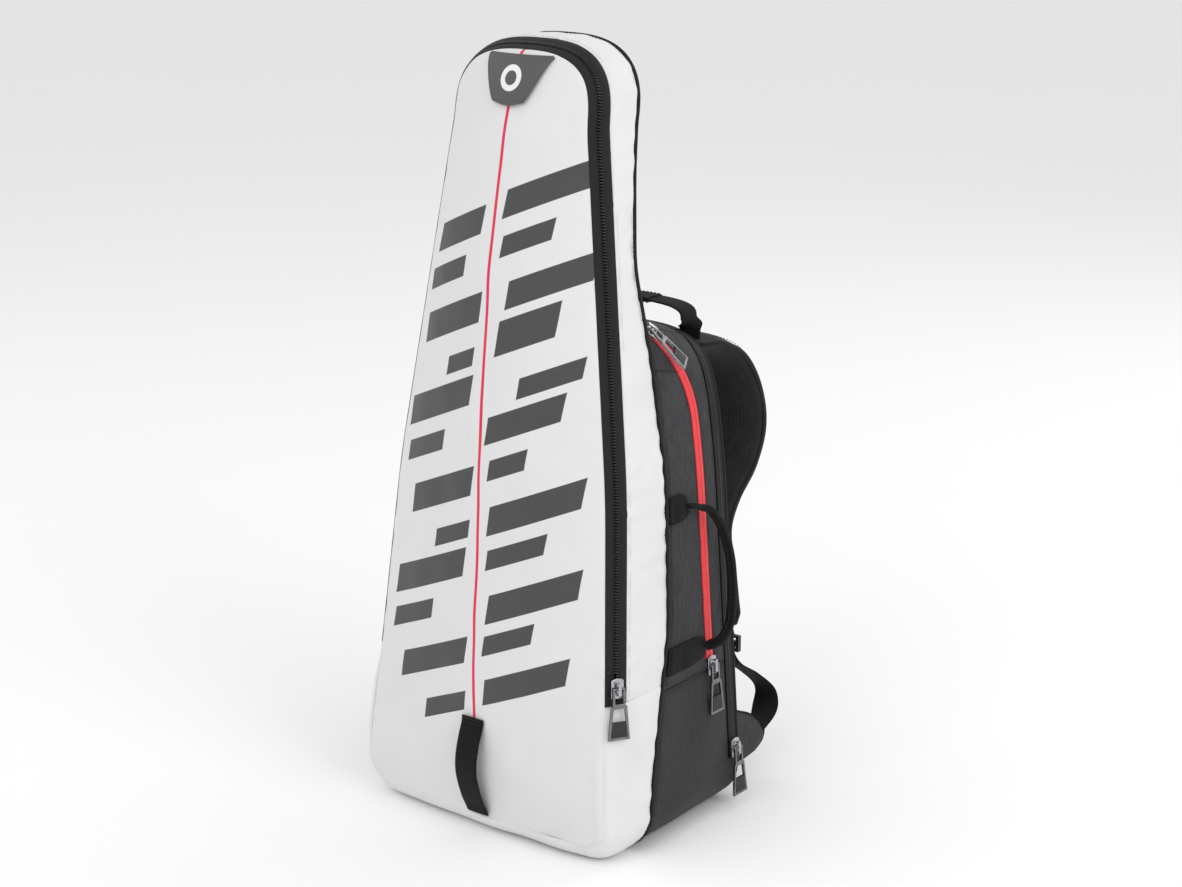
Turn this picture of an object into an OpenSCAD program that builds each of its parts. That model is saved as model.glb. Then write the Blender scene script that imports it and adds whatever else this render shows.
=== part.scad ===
// Tall backpack for two or three rackets: a white racket compartment with a
// zipped front cover, and a shorter dark main compartment behind it.
// Millimetres. X runs to the viewer's right, Y from front to back, Z up.
// The origin is at the middle of the footprint, on the ground.

/* [Bag] */
// Overall height
bag_h = 709; // [704:5:739]
// Width at the widest level, near the ground
bag_w = 298; // [288:2:310]
// Radius of the lower corners
corner_r = 36; // [30:1:40]
// Distance of the rear edge behind the origin
rear_y = 108; // [104:1:114]
// Height of the main compartment's roof at its front edge
roof_front_z = 475; // [465:5:485]
// Height of the main compartment's roof at its rear edge
roof_rear_z = 446; // [440:2:450]

/* [Front cover] */
// Height of the cover zip's lower ends
zip_low_z = 150; // [145:1:154]
// Height of the line that the cover folds down about, just above the parked slider
hinge_z = 177; // [177:1:182]
// How much the cover bulges in front of its edge seam
crown_scale = 1; // [0.8:0.05:1.1]
// Width of the zip band seen from the front
band_x = 9; // [8:0.5:10]
// Depth of the zip band seen from the side
band_y = 19; // [17:1:21]
// Height of the badge patch
badge_h = 41; // [37:2:45]

/* [Side pocket] */
// Depth of the upright stretch of the side zip
side_zip_y = 70; // [66:1:72]
// Level of the side zip's lower end
side_zip_low = 152; // [150:1:158]
// Level of the side zip's upper end
side_zip_high = 458; // [456:1:460]
// Depth of the side zip's upper end
side_zip_front = 22; // [20:1:26]

/* [Fabric and webbing] */
// Thickness of the coated fabric with its backing
skin = 2.5; // [2:0.5:3]
// Thickness of the padded panels
pad_t = 5; // [4:0.5:6]
// Width of the webbing
webbing_w = 25; // [20:1:28]
// Thickness of the webbing
webbing_t = 2; // [1.6:0.2:2.4]
// Width of a shoulder strap
strap_w = 64; // [58:1:68]
// Thickness of a shoulder strap
strap_t = 12; // [9:1:13]

/* [Hidden] */
$fn = 40;
half = bag_w / 2;
// Clear gap between pieces that move against each other
gap = 0.6;
// Clear gap between pieces sewn edge to edge
seam = 0.4;

// Side outline: level, share of the half width
SIDE = [[0.051, 1], [0.465, 0.852], [0.903, 0.557]];
cap_z = 0.903 * bag_h;
cap_h = bag_h - cap_z;
cap_w = 0.557 * half;
// How square the rounded top is; 2 would be an ellipse
cap_n = 2.8;
// Depth of the front edge seam against level
EDGE = [[16, -86], [60, -89], [150, -77], [330, -59], [640, -28], [700, -19], [720, -15]];
// Bulge of the front panel ahead of that seam against level
CROWN = [[16, 6], [60, 10], [150, 21], [330, 30], [520, 30], [640, 20], [700, 12], [720, 5]];
// Depth of the seam between the white gusset and the dark body against level
BORDER = [[0, -36], [60, -27], [115, -14], [200, 9], [330, 17], [440, 14],
          [520, 5], [600, 19], [650, 32], [720, 42]];
// Levels on the lower sides that every band shares
LOW_LEVELS = [60, 90, 115];
panel_low_z = 16;
shoulder_z = 330;
front_arch_n = 8;
rear_arch_n = 4.9;
rear_inset = 3;
// Arc measure of the arch from its shoulder to the middle of the roof
arch_len = 250;
arch_top = shoulder_z + arch_len;
base_top_z = 142;
rear_tape_w = 6;
rear_zip_low = 46;
piping = 1.6;
steps = 14;
cap_steps = 12;

// ---------- Small helpers ----------

function mix(a, b, k) = a + (b - a) * k;
function unit(v) = v / norm(v);
function sq(v) = v * v;
function turned(list) = [for (i = [len(list) - 1 : -1 : 0]) list[i]];
function mirrored_x(list) = [for (p = list) [-p.x, p.y, p.z]];

// Closed solid between two equal grids of points, outer first
module slab(outer, inner) {
    rows = len(outer);
    cols = len(outer[0]);
    size = rows * cols;
    pts = [for (g = [outer, inner]) for (r = g) for (p = r) p];
    function quad(a, b, c, d) = [[a, b, c], [a, c, d]];
    faces = [for (q = concat(
        [for (i = [0 : rows - 2]) for (j = [0 : cols - 2])
            let (a = i * cols + j) quad(a, a + cols, a + cols + 1, a + 1)],
        [for (i = [0 : rows - 2]) for (j = [0 : cols - 2])
            let (a = size + i * cols + j) quad(a, a + 1, a + cols + 1, a + cols)],
        [for (i = [0 : rows - 2])
            let (a = i * cols) quad(a, size + a, size + a + cols, a + cols)],
        [for (i = [0 : rows - 2])
            let (a = i * cols + cols - 1) quad(a, a + cols, size + a + cols, size + a)],
        [for (j = [0 : cols - 2]) quad(j, j + 1, size + j + 1, size + j)],
        [for (j = [0 : cols - 2])
            let (a = (rows - 1) * cols + j) quad(a, size + a, size + a + 1, a + 1)]
    )) for (f = q) f];
    polyhedron(pts, faces);
}

// Smooth line through hand-placed points
function smooth_line(p, n = 5) = concat(
    [for (i = [0 : len(p) - 2])
        let (a = p[max(i - 1, 0)], b = p[i], c = p[i + 1], d = p[min(i + 2, len(p) - 1)])
        for (j = [0 : n - 1])
            let (k = j / n)
            0.5 * (2 * b + (c - a) * k + (2 * a - 5 * b + 4 * c - d) * k * k
                   + (3 * b - a - 3 * c + d) * k * k * k)],
    [p[len(p) - 1]]);

// Flat strap along a line; across is the direction of its width. Width and
// thickness are one number or a list with one for each point
module ribbon(line, width, thick, across) {
    last = len(line) - 1;
    function heading(i) = unit(line[min(i + 1, last)] - line[max(i - 1, 0)]);
    function face(i) = unit(cross(heading(i), across));
    function edge(i) = unit(cross(face(i), heading(i)));
    function pick(v, i) = is_list(v) ? v[i] : v;
    function at(i, u, v) = line[i] + edge(i) * pick(width, i) * u / 2 + face(i) * pick(thick, i) * v / 2;
    slab([for (i = [0 : last]) [at(i, 1, 1), at(i, -1, 1)]],
         [for (i = [0 : last]) [at(i, 1, -1), at(i, -1, -1)]]);
}

// ---------- Outline of the racket compartment ----------

function half_w(z) = half * lookup(z / bag_h, SIDE);
function edge_y(z) = lookup(z, EDGE);
function border_y(z) = lookup(z, BORDER);

// Right half of the outline, from the middle of the bottom to the top, inset by d;
// low is the extra lift of the bottom edge
function corner_arc(d, low) = [for (i = [0 : 6])
    [half - corner_r + (corner_r - d) * sin(15 * i),
     corner_r - (corner_r - d - low) * cos(15 * i)]];
function side_line(d, from_z) = [for (i = [1 : steps])
    let (z = mix(from_z, cap_z, i / steps)) [half_w(z) - d, z]];
function cap_arc(d) = [for (i = [1 : cap_steps]) let (a = 90 * i / cap_steps)
    [(cap_w - d) * pow(cos(a), 2 / cap_n), cap_z + (cap_h - d) * pow(sin(a), 2 / cap_n)]];
// Half width of the rounded top at a level, d inside its edge
function cap_half(z, d) = (cap_w - d) * pow(max(0, 1 - pow((z - cap_z) / (cap_h - d), cap_n)), 1 / cap_n);
function upper_half(d, low = zip_low_z) = concat([[half_w(low) - d, low]], side_line(d, low), cap_arc(d));
function lower_half(d, low) = concat(
    [for (i = [0 : 3]) [(half - corner_r) * i / 4, d + low]],
    corner_arc(d, low), [for (z = concat(LOW_LEVELS, zip_low_z)) [half_w(z) - d, z]]);
function mirrored(path) = [for (p = turned(path)) [-p.x, p.y]];
// Whole line from its right half: over the top, or under the bottom
function over_top(right) = concat(right, mirrored([for (i = [0 : len(right) - 2]) right[i]]));
function under(right) = concat(mirrored([for (i = [1 : len(right) - 1]) right[i]]), right);

// Half width of the front panel inside its edge seam
function panel_w(z) =
    z < corner_r ? half - corner_r
        + (corner_r - band_x) * sqrt(1 - sq((corner_r - z) / (corner_r - panel_low_z)))
    : z < cap_z ? half_w(z) - band_x
    : cap_half(z, band_x);
function crown_y(z, u) = edge_y(z) - crown_scale * lookup(z, CROWN) * (1 - u * u);

// Levels from low to high, closer together near the rounded top
function levels(low, high, n) = [for (i = [0 : n]) mix(low, high, sin(90 * i / n))];
function front_sheet(rows, trim, depth) = [for (z = rows)
    [for (i = [-6 : 6]) let (x = (panel_w(z) - trim) * i / 6)
        [x, crown_y(z, x / panel_w(z)) + depth, z]]];
module front_piece(low, high, trim, depth, thick, n = 22) {
    rows = levels(low, high, n);
    slab(front_sheet(rows, trim, depth), front_sheet(rows, trim, depth + thick));
}

// Band across the edge seam: share k runs from the panel to the gusset
wedge = 5.5;
function band_point(p, k) = [p.x, edge_y(p.y) + band_y * k, p.y];
inner_k = 0.43;
outer_k = 0.57;
module zip_band(from_k, to_k, low = zip_low_z) {
    a = over_top(upper_half(band_x * (1 - from_k), low));
    b = over_top(upper_half(band_x * (1 - to_k), low));
    // The inner face is deeper in, and meets the gusset's inner face at the far edge
    c = over_top(upper_half(band_x * (1 - to_k) + (to_k == 1 ? skin : 0), low));
    outer = [for (i = [0 : len(a) - 1]) [band_point(a[i], from_k), band_point(b[i], to_k)]];
    inner = [for (i = [0 : len(a) - 1]) [band_point(a[i], from_k) + [0, wedge, 0],
        band_point(c[i], to_k) + [0, to_k == 1 ? 0 : wedge, 0]]];
    slab(outer, inner);
}

// ---------- Outline of the main compartment ----------

// Unit arch: 0 at the shoulder, 90 at the middle of the roof
function arch_unit(a, n) =
    [cos(a), sin(a)] / pow(pow(abs(cos(a)), n) + pow(abs(sin(a)), n), 1 / n);
function low_x(z) = z < corner_r
    ? half - corner_r + sqrt(sq(corner_r) - sq(corner_r - z)) : half_w(z);
function arch(s, top, n, inset) = s <= shoulder_z ? [low_x(s) - inset, s]
    : let (u = arch_unit(90 * (s - shoulder_z) / arch_len, n),
           z = shoulder_z + (top - shoulder_z) * u.y)
      [(half_w(z) - inset) * u.x, z];
// Point on the body's side or roof: s runs up the side and over, y is its depth,
// d its inset below the surface
function body_point(s, y, d = 0) =
    let (f = arch(s, roof_front_z - d, front_arch_n, d),
         r = arch(s, roof_rear_z - d, rear_arch_n, rear_inset + d),
         b = border_y(f.y), k = (y - b) / (rear_y - b))
    [mix(f.x, r.x, k), y, mix(f.y, r.y, k)];
// Front edge of the body's fabric; over the shoulder it clears the padded panel
function body_start(s) = border_y(arch(s, roof_front_z, front_arch_n, 0).y)
    + mix(piping + seam, pad_t / 2 + seam + 1, min(1, max(0, (s - 400) / 40)));
body_end = rear_y - 2 * rear_tape_w - 1;

// Fixed-depth strip of the body all round, from one side over the roof to the other
function around(low, n = 34) = [for (i = [0 : n]) mix(low, arch_top, i / n)];
module rear_band(y0, y1, low) {
    s = around(low, 22);
    function rows(d) = concat(
        [for (v = s) [body_point(v, y0, d), body_point(v, y1, d)]],
        [for (v = turned(s)) if (v < arch_top)
            [mirrored_x([body_point(v, y0, d)])[0], mirrored_x([body_point(v, y1, d)])[0]]]);
    slab(rows(0), rows(skin));
}

// Side zip: upright, then an arc forward to its upper end. Its share q runs from 0
// at the lower end to 1 at the upper; the arc starts at bend_q
bend_s = 385;
bend_q = 0.65;
bend_rise = side_zip_high - bend_s;
bend_run = side_zip_y - side_zip_front;
bend_r = (sq(bend_rise) + sq(bend_run)) / (2 * bend_run);
bend_angle = 2 * atan(bend_run / bend_rise);
function bend_at(q) = q < bend_q ? 0 : bend_angle * (q - bend_q) / (1 - bend_q);
roof_seam_s = side_zip_high + 7.5;
function side_zip(q) = q < bend_q
    ? [mix(side_zip_low, bend_s, q / bend_q), side_zip_y]
    : let (a = bend_at(q)) [bend_s + bend_r * sin(a), side_zip_y - bend_r * (1 - cos(a))];
// Straight fold line of the flap between the zip's two ends
fold_low_y = side_zip_y - 16;
// Width of the soft fold left open between the bag's side and the flap
fold_gap = 3;
fold_high_s = side_zip_high - 20;
fold_high_y = 16;
function fold_y(s) = mix(fold_low_y, fold_high_y, (s - side_zip_low) / (fold_high_s - side_zip_low));
function on_side(p, d = 0) = body_point(p.x, p.y, d);
red_half = 4.5;
// Share of the zip's length at which the flap ends
flap_q = 0.82;
flap_low_q = 0.04;
flap_top_s = zip_offset(flap_q, -red_half - seam).x;
flap_low_s = zip_offset(flap_low_q, -red_half - seam).x;

// ---------- Racket compartment ----------

white = "white";
dark = [0.23, 0.23, 0.24];
red = [1, 0.27, 0.31];

// Across the gusset, from the zip band back to the border seam
function gusset_rows(right) = [for (p = over_top(right))
    [for (k = [0 : 3])
        let (y0 = edge_y(p.y) + band_y + seam, y1 = border_y(p.y) - piping - seam)
        [p.x, mix(y0, y1, k / 3), p.y]]];
module racket_gusset() {
    color(white) slab(gusset_rows(upper_half(0)), gusset_rows(upper_half(skin)));
}

module racket_gusset_base() {
    front = under(lower_half(band_x, panel_low_z - band_x));
    outer = under(lower_half(0, 0));
    inner = under(lower_half(skin, 0));
    last = len(outer) - 1;
    function seam_point(i, d) = [front[i].x, edge_y(front[i].y) + d, front[i].y];
    function row(path, i, d) = concat([seam_point(i, d)],
        [for (k = [0 : 2])
            let (y0 = edge_y(front[i].y) + band_y, y1 = border_y(path[i].y) - piping - seam)
            [path[i].x, mix(y0, y1, k / 2), path[i].y]]);
    color(white)
        slab([for (i = [0 : last]) row(outer, i, 0)],
             [for (i = [0 : last]) row(inner, i, wedge)]);
}

module front_lower_panel() {
    color(white) front_piece(panel_low_z + 1, hinge_z - gap, 0.4, 0, skin, 8);
}

module cover_zip_outer_tape() {
    color("black") zip_band(outer_k, 1);
}

// Lower ends of the cover's own zip tape, left sewn to the bag below the fold
module cover_zip_ends() {
    function rows(depth) = [for (z = [zip_low_z, hinge_z - gap])
        [for (k = [0, inner_k])
            band_point([half_w(z) - band_x * (1 - k), z], k) + [0, depth, 0]]];
    color("black") {
        slab(rows(0), rows(wedge));
        mirror([1, 0, 0]) slab(rows(0), rows(wedge));
    }
}

module racket_back_panel() {
    rows = levels(7, bag_h - 7, 24);
    trim = skin + 2.4;
    function sheet(depth) = [for (z = rows) let (w = z < cap_z ? low_x(z) - trim : cap_half(z, trim))
        [for (i = [-3 : 3]) [w * i / 3, border_y(z) + depth, z]]];
    color(dark) slab(sheet(-pad_t / 2), sheet(pad_t / 2));
}

module border_piping() {
    function right(d, low) = concat(lower_half(d, low), side_line(d, zip_low_z), cap_arc(d));
    // The two ends meet in the middle of the bottom
    function rows(path) = [for (i = [0 : len(path) - 1]) let (p = path[i],
            x = i == 0 ? gap : i == len(path) - 1 ? -gap : p.x)
        [for (y = [-piping, piping]) [x, border_y(max(p.y, 0)) + y, p.y]]];
    color("black") slab(rows(over_top(right(-piping, piping))), rows(over_top(right(piping, 0))));
}

// ---------- Main compartment ----------

module body_gusset() {
    // Over the roof from the right shoulder, and down the left side
    s = concat([for (i = [0 : 9]) mix(roof_seam_s + 0.5, arch_top, i / 9)],
               [for (i = [1 : 22]) mix(arch_top, 2 * arch_top - base_top_z, i / 22)]);
    function at(v, y, d) = v <= arch_top ? body_point(v, y, d)
        : mirrored_x([body_point(2 * arch_top - v, y, d)])[0];
    function start(v) = body_start(v <= arch_top ? v : 2 * arch_top - v);
    function rows(d) = [for (v = s) [for (k = [0 : 3]) at(v, mix(start(v), body_end, k / 3), d)]];
    color(dark) slab(rows(0), rows(skin));
}

module side_front_panel() {
    s = concat([base_top_z, flap_low_s - 2 * gap],
               [for (i = [0 : 14]) mix(flap_low_s - gap, flap_top_s + gap, i / 14)],
               [for (i = [0 : 6]) mix(flap_top_s + 2 * gap, roof_seam_s, i / 6)]);
    function limit(v) = v > flap_top_s + 1.5 * gap ? max(side_zip_front - 6, zip_front_y(v))
        : v < flap_low_s - 1.5 * gap ? side_zip_y - red_half - seam
        : fold_y(v) - gap;
    function rows(d) = [for (v = s) [for (k = [0 : 2])
        body_point(v, mix(body_start(v), limit(v), k / 2), d)]];
    color(dark) slab(rows(0), rows(skin));
}

// Strip between the zip's rear half and the rear edge; past the zip's end it
// follows the roof seam
module side_rear_panel() {
    q = [for (i = [-1 : 24]) i / 24];
    function cell(v, d) = v < 0
        ? [body_point(base_top_z, side_zip_y + red_half + seam, d), body_point(base_top_z, body_end, d)]
        : let (level = side_zip(v).x, past = max(0, (v - bend_q) / (1 - bend_q)))
          [on_side(zip_offset(v, red_half + seam), d),
           body_point(mix(level, roof_seam_s, past), body_end, d)];
    color(dark) slab([for (v = q) cell(v, 0)], [for (v = q) cell(v, skin)]);
}

// Zip line moved across by d, rearward or upward being positive
function zip_offset(q, d) =
    let (p = side_zip(q), a = bend_at(q)) [p.x + d * sin(a), p.y + d * cos(a)];
// Depth of the edge of the zip's front half at a level above the bend
function zip_front_y(s) = side_zip_y - bend_r
    + sqrt(max(0, sq(bend_r - red_half - 0.9) - sq(s - bend_s)));
module red_tape(from_d, to_d, q0, q1) {
    q = [for (i = [0 : 24]) mix(q0, q1, i / 24)];
    function rows(d) = [for (v = q) [on_side(zip_offset(v, from_d), d), on_side(zip_offset(v, to_d), d)]];
    color(red) slab(rows(0), rows(skin));
}

module body_base() {
    outer = under(lower_path(0));
    inner = under(lower_path(skin + 0.5));
    last = len(outer) - 1;
    function rows(path) = [for (i = [0 : last])
        [for (k = [0 : 4])
            let (t = k / 4, y0 = border_y(outer[i].y) + piping + seam,
                 y1 = outer[i].y < rear_zip_low - 1 ? rear_y : body_end)
            [path[i].x * (1 - rear_inset * t / half), mix(y0, y1, t), path[i].y]]];
    color(dark) slab(rows(outer), rows(inner));
}
function lower_path(d) = concat(
    [for (i = [0 : 3]) [(half - corner_r) * i / 4, d]],
    corner_arc(d, 0),
    [for (z = concat(rear_zip_low - 1.2, rear_zip_low - 0.8, LOW_LEVELS, base_top_z - gap))
        [half_w(z) - d, z]]);

module side_zip_rear_tape() {
    red_tape(gap, red_half, 0.01, 0.99);
}
// Ends of the zip's front half, sewn to the bag past the flap's ends
module side_zip_ends() {
    red_tape(-red_half, -gap, 0.005, 0.035);
    red_tape(-red_half, -gap, flap_q + 0.015, 0.99);
}

board_t = 2.4;
board_margin = 6;
module base_board() {
    depth = body_end - 2 * board_margin;
    color([0.15, 0.15, 0.16])
        translate([0, depth / 2 + 4, skin + 1 + board_t / 2])
            cube([2 * (half - corner_r) - board_margin, depth, board_t], center = true);
}

divider_y = 84;
module laptop_divider() {
    rows = levels(7, roof_rear_z - 14, 16);
    function sheet(y) = [for (z = rows) let (w = side_width(z, y) - skin - 3)
        [for (i = [-3 : 3]) [w * i / 3, y, z]]];
    color([0.3, 0.3, 0.32]) slab(sheet(divider_y - pad_t / 2), sheet(divider_y + pad_t / 2));
}
// Half width of the rear arch at a level
function side_width(z, y) = z <= shoulder_z ? low_x(z) - rear_inset
    : (half_w(z) - rear_inset)
      * pow(1 - pow((z - shoulder_z) / (roof_rear_z - shoulder_z), rear_arch_n), 1 / rear_arch_n);

// The back panel stands out from its edge by this much in the middle
back_crown = 7;
back_t = 4;
function back_y(x, z) = rear_y + 1 + back_crown * (1 - sq(x / half)) * sin(180 * z / roof_rear_z);
module back_panel() {
    rows = levels(5, roof_rear_z - 3, 16);
    function sheet(d) = [for (z = rows) let (w = side_width(z, rear_y) - 1.5)
        [for (i = [-5 : 5]) [w * i / 5, back_y(w * i / 5, z) + d, z]]];
    color(dark) slab(sheet(0), sheet(back_t));
}

// Padded block on the back panel with softly rounded corners
module back_pad(x0, x1, z0, z1, thick) {
    nx = 6;
    nz = 10;
    function swell(i, j) = thick * sqrt(max(0.04, sin(180 * i / nx) * sin(180 * j / nz)));
    function cell(i, j, lift) = let (x = mix(x0, x1, i / nx), z = mix(z0, z1, j / nz))
        [x, back_y(x, z) + back_t + seam + (lift ? swell(i, j) : 0), z];
    color([0.17, 0.17, 0.18])
        slab([for (j = [0 : nz]) [for (i = [0 : nx]) cell(i, j, false)]],
             [for (j = [0 : nz]) [for (i = [0 : nx]) cell(i, j, true)]]);
}
pad_inner = 14;
pad_outer = 100;
pad_low = 150;
pad_high = 395;
pad_swell = 8;
lumbar_half = 98;
lumbar_low = 48;
lumbar_high = 140;
lumbar_swell = 9;
module back_pad_left() {
    back_pad(-pad_outer, -pad_inner, pad_low, pad_high, pad_swell);
}
module back_pad_right() {
    back_pad(pad_inner, pad_outer, pad_low, pad_high, pad_swell);
}
module lumbar_pad() {
    back_pad(-lumbar_half, lumbar_half, lumbar_low, lumbar_high, lumbar_swell);
}

module rear_zip_body_tape() {
    color("black") rear_band(body_end + seam, rear_y - rear_tape_w - 0.7, rear_zip_low);
}
module rear_zip_panel_tape() {
    color("black") rear_band(rear_y - rear_tape_w - 0.3, rear_y, rear_zip_low);
}

// ---------- Front cover ----------

cover_low = hinge_z + gap;
cover_top = bag_h - band_x - 1;
// The foam and the lining stop short of the cover's foot, top and sides
foam_foot = 5;
foam_head = 14;
foam_trim = 9;
foam_t = 3.5;
lining_t = 0.8;
foam_depth = skin + 1;
lining_depth = foam_depth + foam_t + 0.3;
module front_cover_panel() {
    color(white) front_piece(cover_low, cover_top, 2 * seam, 0, skin);
}
module cover_foam() {
    color([0.75, 0.75, 0.76])
        front_piece(cover_low + foam_foot, cover_top - foam_head, foam_trim, foam_depth, foam_t);
}
module cover_lining() {
    color([0.2, 0.2, 0.22])
        front_piece(cover_low + foam_foot, cover_top - foam_head, foam_trim, lining_depth, lining_t);
}
module cover_zip_inner_tape() {
    color("black") zip_band(0, inner_k, cover_low);
}

badge_top_z = bag_h - 12;
badge_foot_half = 19;
badge_top_half = 36;
badge_t = 1.3;
badge_lift = 3.5;
module badge_patch() {
    rows = [for (i = [0 : 5]) mix(badge_top_z - badge_h, badge_top_z, i / 5)];
    function share(z) = (z - badge_top_z + badge_h) / badge_h;
    function badge_w(z) = min(mix(badge_foot_half, badge_top_half, share(z)), panel_w(z) - 3);
    function sheet(d) = [for (z = rows) [for (i = [-3 : 3])
        let (x = badge_w(z) * i / 3) [x, crown_y(z, x / panel_w(z)) + d, z]]];
    color([0.28, 0.28, 0.29]) slab(sheet(-badge_lift), sheet(badge_t - badge_lift));
}

// ---------- Zip sliders and pulls ----------
// Each is drawn lying on a surface: Y is the way it travels, Z points outward

slider_w = 12;
slider_l = 18;
slider_t = 2.6;
bridge_w = 3;
bridge_l = 12;
bridge_wall = 1.2;
bar_z = 5;
bar_d = 2;
link_w = 12;
link_l = 14;
frame_w = 21;
frame_l = 30;
wire = 2.2;

module placed(at, travel, across, lift) {
    y = unit(travel);
    z = unit(cross(across, y));
    x = cross(y, z);
    o = at + z * lift;
    multmatrix([[x.x, y.x, z.x, o.x], [x.y, y.y, z.y, o.y], [x.z, y.z, z.z, o.z]]) children();
}

module slider_shape() {
    color("silver") {
        linear_extrude(slider_t) intersection() {
            square([slider_w, slider_l], center = true);
            translate([0, -2]) circle(r = 11);
        }
        // Bridge that the pull's bar runs through
        difference() {
            translate([-bridge_w / 2, -bridge_l / 2, slider_t - 0.5])
                cube([bridge_w, bridge_l, bar_z + 3.1 - slider_t]);
            translate([-bridge_w, -bridge_l / 2 + 1.6, slider_t - 1])
                cube([2 * bridge_w, bridge_l - 3.2, bar_z + 3.6 - slider_t - bridge_wall]);
        }
        translate([-bridge_w / 2, -bridge_l / 2, 0]) cube([bridge_w, bridge_l, slider_t]);
    }
}

// Link that hangs from the slider's bridge, with the frame below it
module pull_shape() {
    color([0.6, 0.6, 0.62]) translate([0, 0, bar_z]) {
        rotate([0, 90, 0]) cylinder(h = link_w, d = bar_d, center = true);
        for (side = [-1, 1])
            translate([side * (link_w - bar_d) / 2, -link_l / 2, 0])
                cube([bar_d, link_l, bar_d], center = true);
        translate([0, -link_l, 0]) cube([link_w, bar_d, bar_d], center = true);
        translate([0, -link_l - bar_d / 2, -wire / 2]) linear_extrude(wire) difference() {
            pull_outline(0);
            pull_outline(wire);
        }
    }
}
module pull_outline(inset) {
    narrow = frame_w * 0.36 - inset;
    broad = frame_w * 0.5 - inset;
    polygon([[-narrow, -inset], [narrow, -inset], [broad, -frame_l + inset], [-broad, -frame_l + inset]]);
}
module grip_shape() {
    color([0.1, 0.1, 0.1])
        translate([0, -link_l - bar_d / 2, bar_z - 1.5]) linear_extrude(3) intersection() {
            pull_outline(wire + 0.2);
            translate([0, -frame_l * 0.72]) square([frame_w, frame_l * 0.5], center = true);
        }
}

// Frames of reference on the bag's surface
cover_rest_z = 165;
function band_mid(z) = [half_w(z) - band_x / 2, edge_y(z) + band_y / 2, z];
module on_cover_zip() {
    placed(band_mid(cover_rest_z), band_mid(320) - band_mid(200), [band_x, band_y, 0], 0.8)
        children();
}
lower_rest_s = side_zip_low - 6;
module on_side_zip_low() {
    placed(body_point(lower_rest_s, side_zip_y), body_point(320, side_zip_y) - body_point(200, side_zip_y),
           [0, 1, 0], 0.8) children();
}
upper_rest_q = 0.985;
module on_side_zip_high() {
    p = on_side(side_zip(upper_rest_q));
    placed(p, on_side(side_zip(1)) - on_side(side_zip(0.95)),
           on_side([side_zip_high, side_zip_front + 10]) - on_side([side_zip_high - 10, side_zip_front]), 1)
        children();
}
rear_rest_s = 56;
rear_mid_y = rear_y - rear_tape_w - 0.5;
module on_rear_zip() {
    placed(body_point(rear_rest_s, rear_mid_y), body_point(300, rear_mid_y) - body_point(100, rear_mid_y),
           [0, 1, 0], 0.8) children();
}

module cover_slider() {
    on_cover_zip() slider_shape();
}
module cover_pull() {
    on_cover_zip() pull_shape();
}
module cover_pull_grip() {
    on_cover_zip() grip_shape();
}
module side_slider_lower() {
    on_side_zip_low() slider_shape();
}
module side_pull_lower() {
    on_side_zip_low() pull_shape();
}
module side_pull_lower_grip() {
    on_side_zip_low() grip_shape();
}
module side_slider_upper() {
    on_side_zip_high() slider_shape();
}
// The upper pull hangs askew of its slider, nearer to upright
upper_twist = -24;
module side_pull_upper() {
    on_side_zip_high() rotate([0, 0, upper_twist]) pull_shape();
}
module side_pull_upper_grip() {
    on_side_zip_high() rotate([0, 0, upper_twist]) grip_shape();
}
module rear_slider() {
    on_rear_zip() slider_shape();
}
module rear_pull() {
    on_rear_zip() pull_shape();
}
module rear_pull_grip() {
    on_rear_zip() grip_shape();
}

// ---------- Side flap and side handle ----------

module side_flap() {
    q = [for (i = [0 : 24]) mix(flap_low_q, flap_q, i / 24)];
    function cell(v, d) = let (z = zip_offset(v, -red_half - seam), s = z.x)
        [for (k = [0 : 2]) body_point(s, mix(fold_y(s) + fold_gap, z.y, k / 2), d)];
    color(dark) slab([for (v = q) cell(v, 0)], [for (v = q) cell(v, skin)]);
}
module side_zip_front_tape() {
    red_tape(-red_half, -gap, 0.05, flap_q);
}

handle_top_s = 303;
handle_low_s = 168;
handle_t = 2.5;
module handle_band(s) {
    rows = [for (i = [-2 : 2]) s + i * webbing_w / 4];
    function sheet(d) = [for (v = rows) [for (k = [0 : 4])
        body_point(v, mix(body_start(v), fold_y(v) - 7, k / 4), -d)]];
    color("black") slab(sheet(0.4 + handle_t), sheet(0.4));
}
module handle_anchor_upper() {
    handle_band(handle_top_s);
}
module handle_anchor_lower() {
    handle_band(handle_low_s);
}
module side_handle() {
    function off(s, y, out) = body_point(s, y) + [out, 0, 0];
    line = smooth_line([
        off(handle_top_s, fold_y(handle_top_s) + 5, 3.2),
        off(handle_top_s - 1, fold_y(handle_top_s) + 15, 8),
        off(handle_top_s - 9, 65, 14),
        off(handle_top_s - 32, 79, 17),
        off((handle_top_s + handle_low_s) / 2, 86, 18.5),
        off(handle_low_s + 24, 82, 18),
        off(handle_low_s + 7, 69, 16),
        off(handle_low_s + 1, 58, 12),
        off(handle_low_s, fold_y(handle_low_s) + 3.5, 3.6)], 4);
    // Flat webbing at both ends, folded double into a narrow grip between them
    n = len(line) - 1;
    function grip(i) = pow(sin(180 * i / n), 0.5);
    color("black") ribbon(line, [for (i = [0 : n]) mix(2.5, 6, grip(i))],
        [for (i = [0 : n]) mix(webbing_w - 5, 9, grip(i))], [1, 0, 0]);
}

// ---------- Loops and straps ----------

haul_half = 78;
haul_y = 116;
haul_low = 452;
haul_rise = 14;
haul_t = 3;
module haul_loop() {
    line = [for (a = [0 : 10 : 180])
        let (c = cos(a), s = sin(a))
        [haul_half * sign(c) * pow(abs(c), 0.5), haul_y, haul_low + haul_rise * pow(abs(s), 0.6)]];
    color("black") ribbon(line, webbing_w - 1, haul_t, [0, 1, 0]);
}

grab_top = 106;
grab_low = 24;
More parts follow.
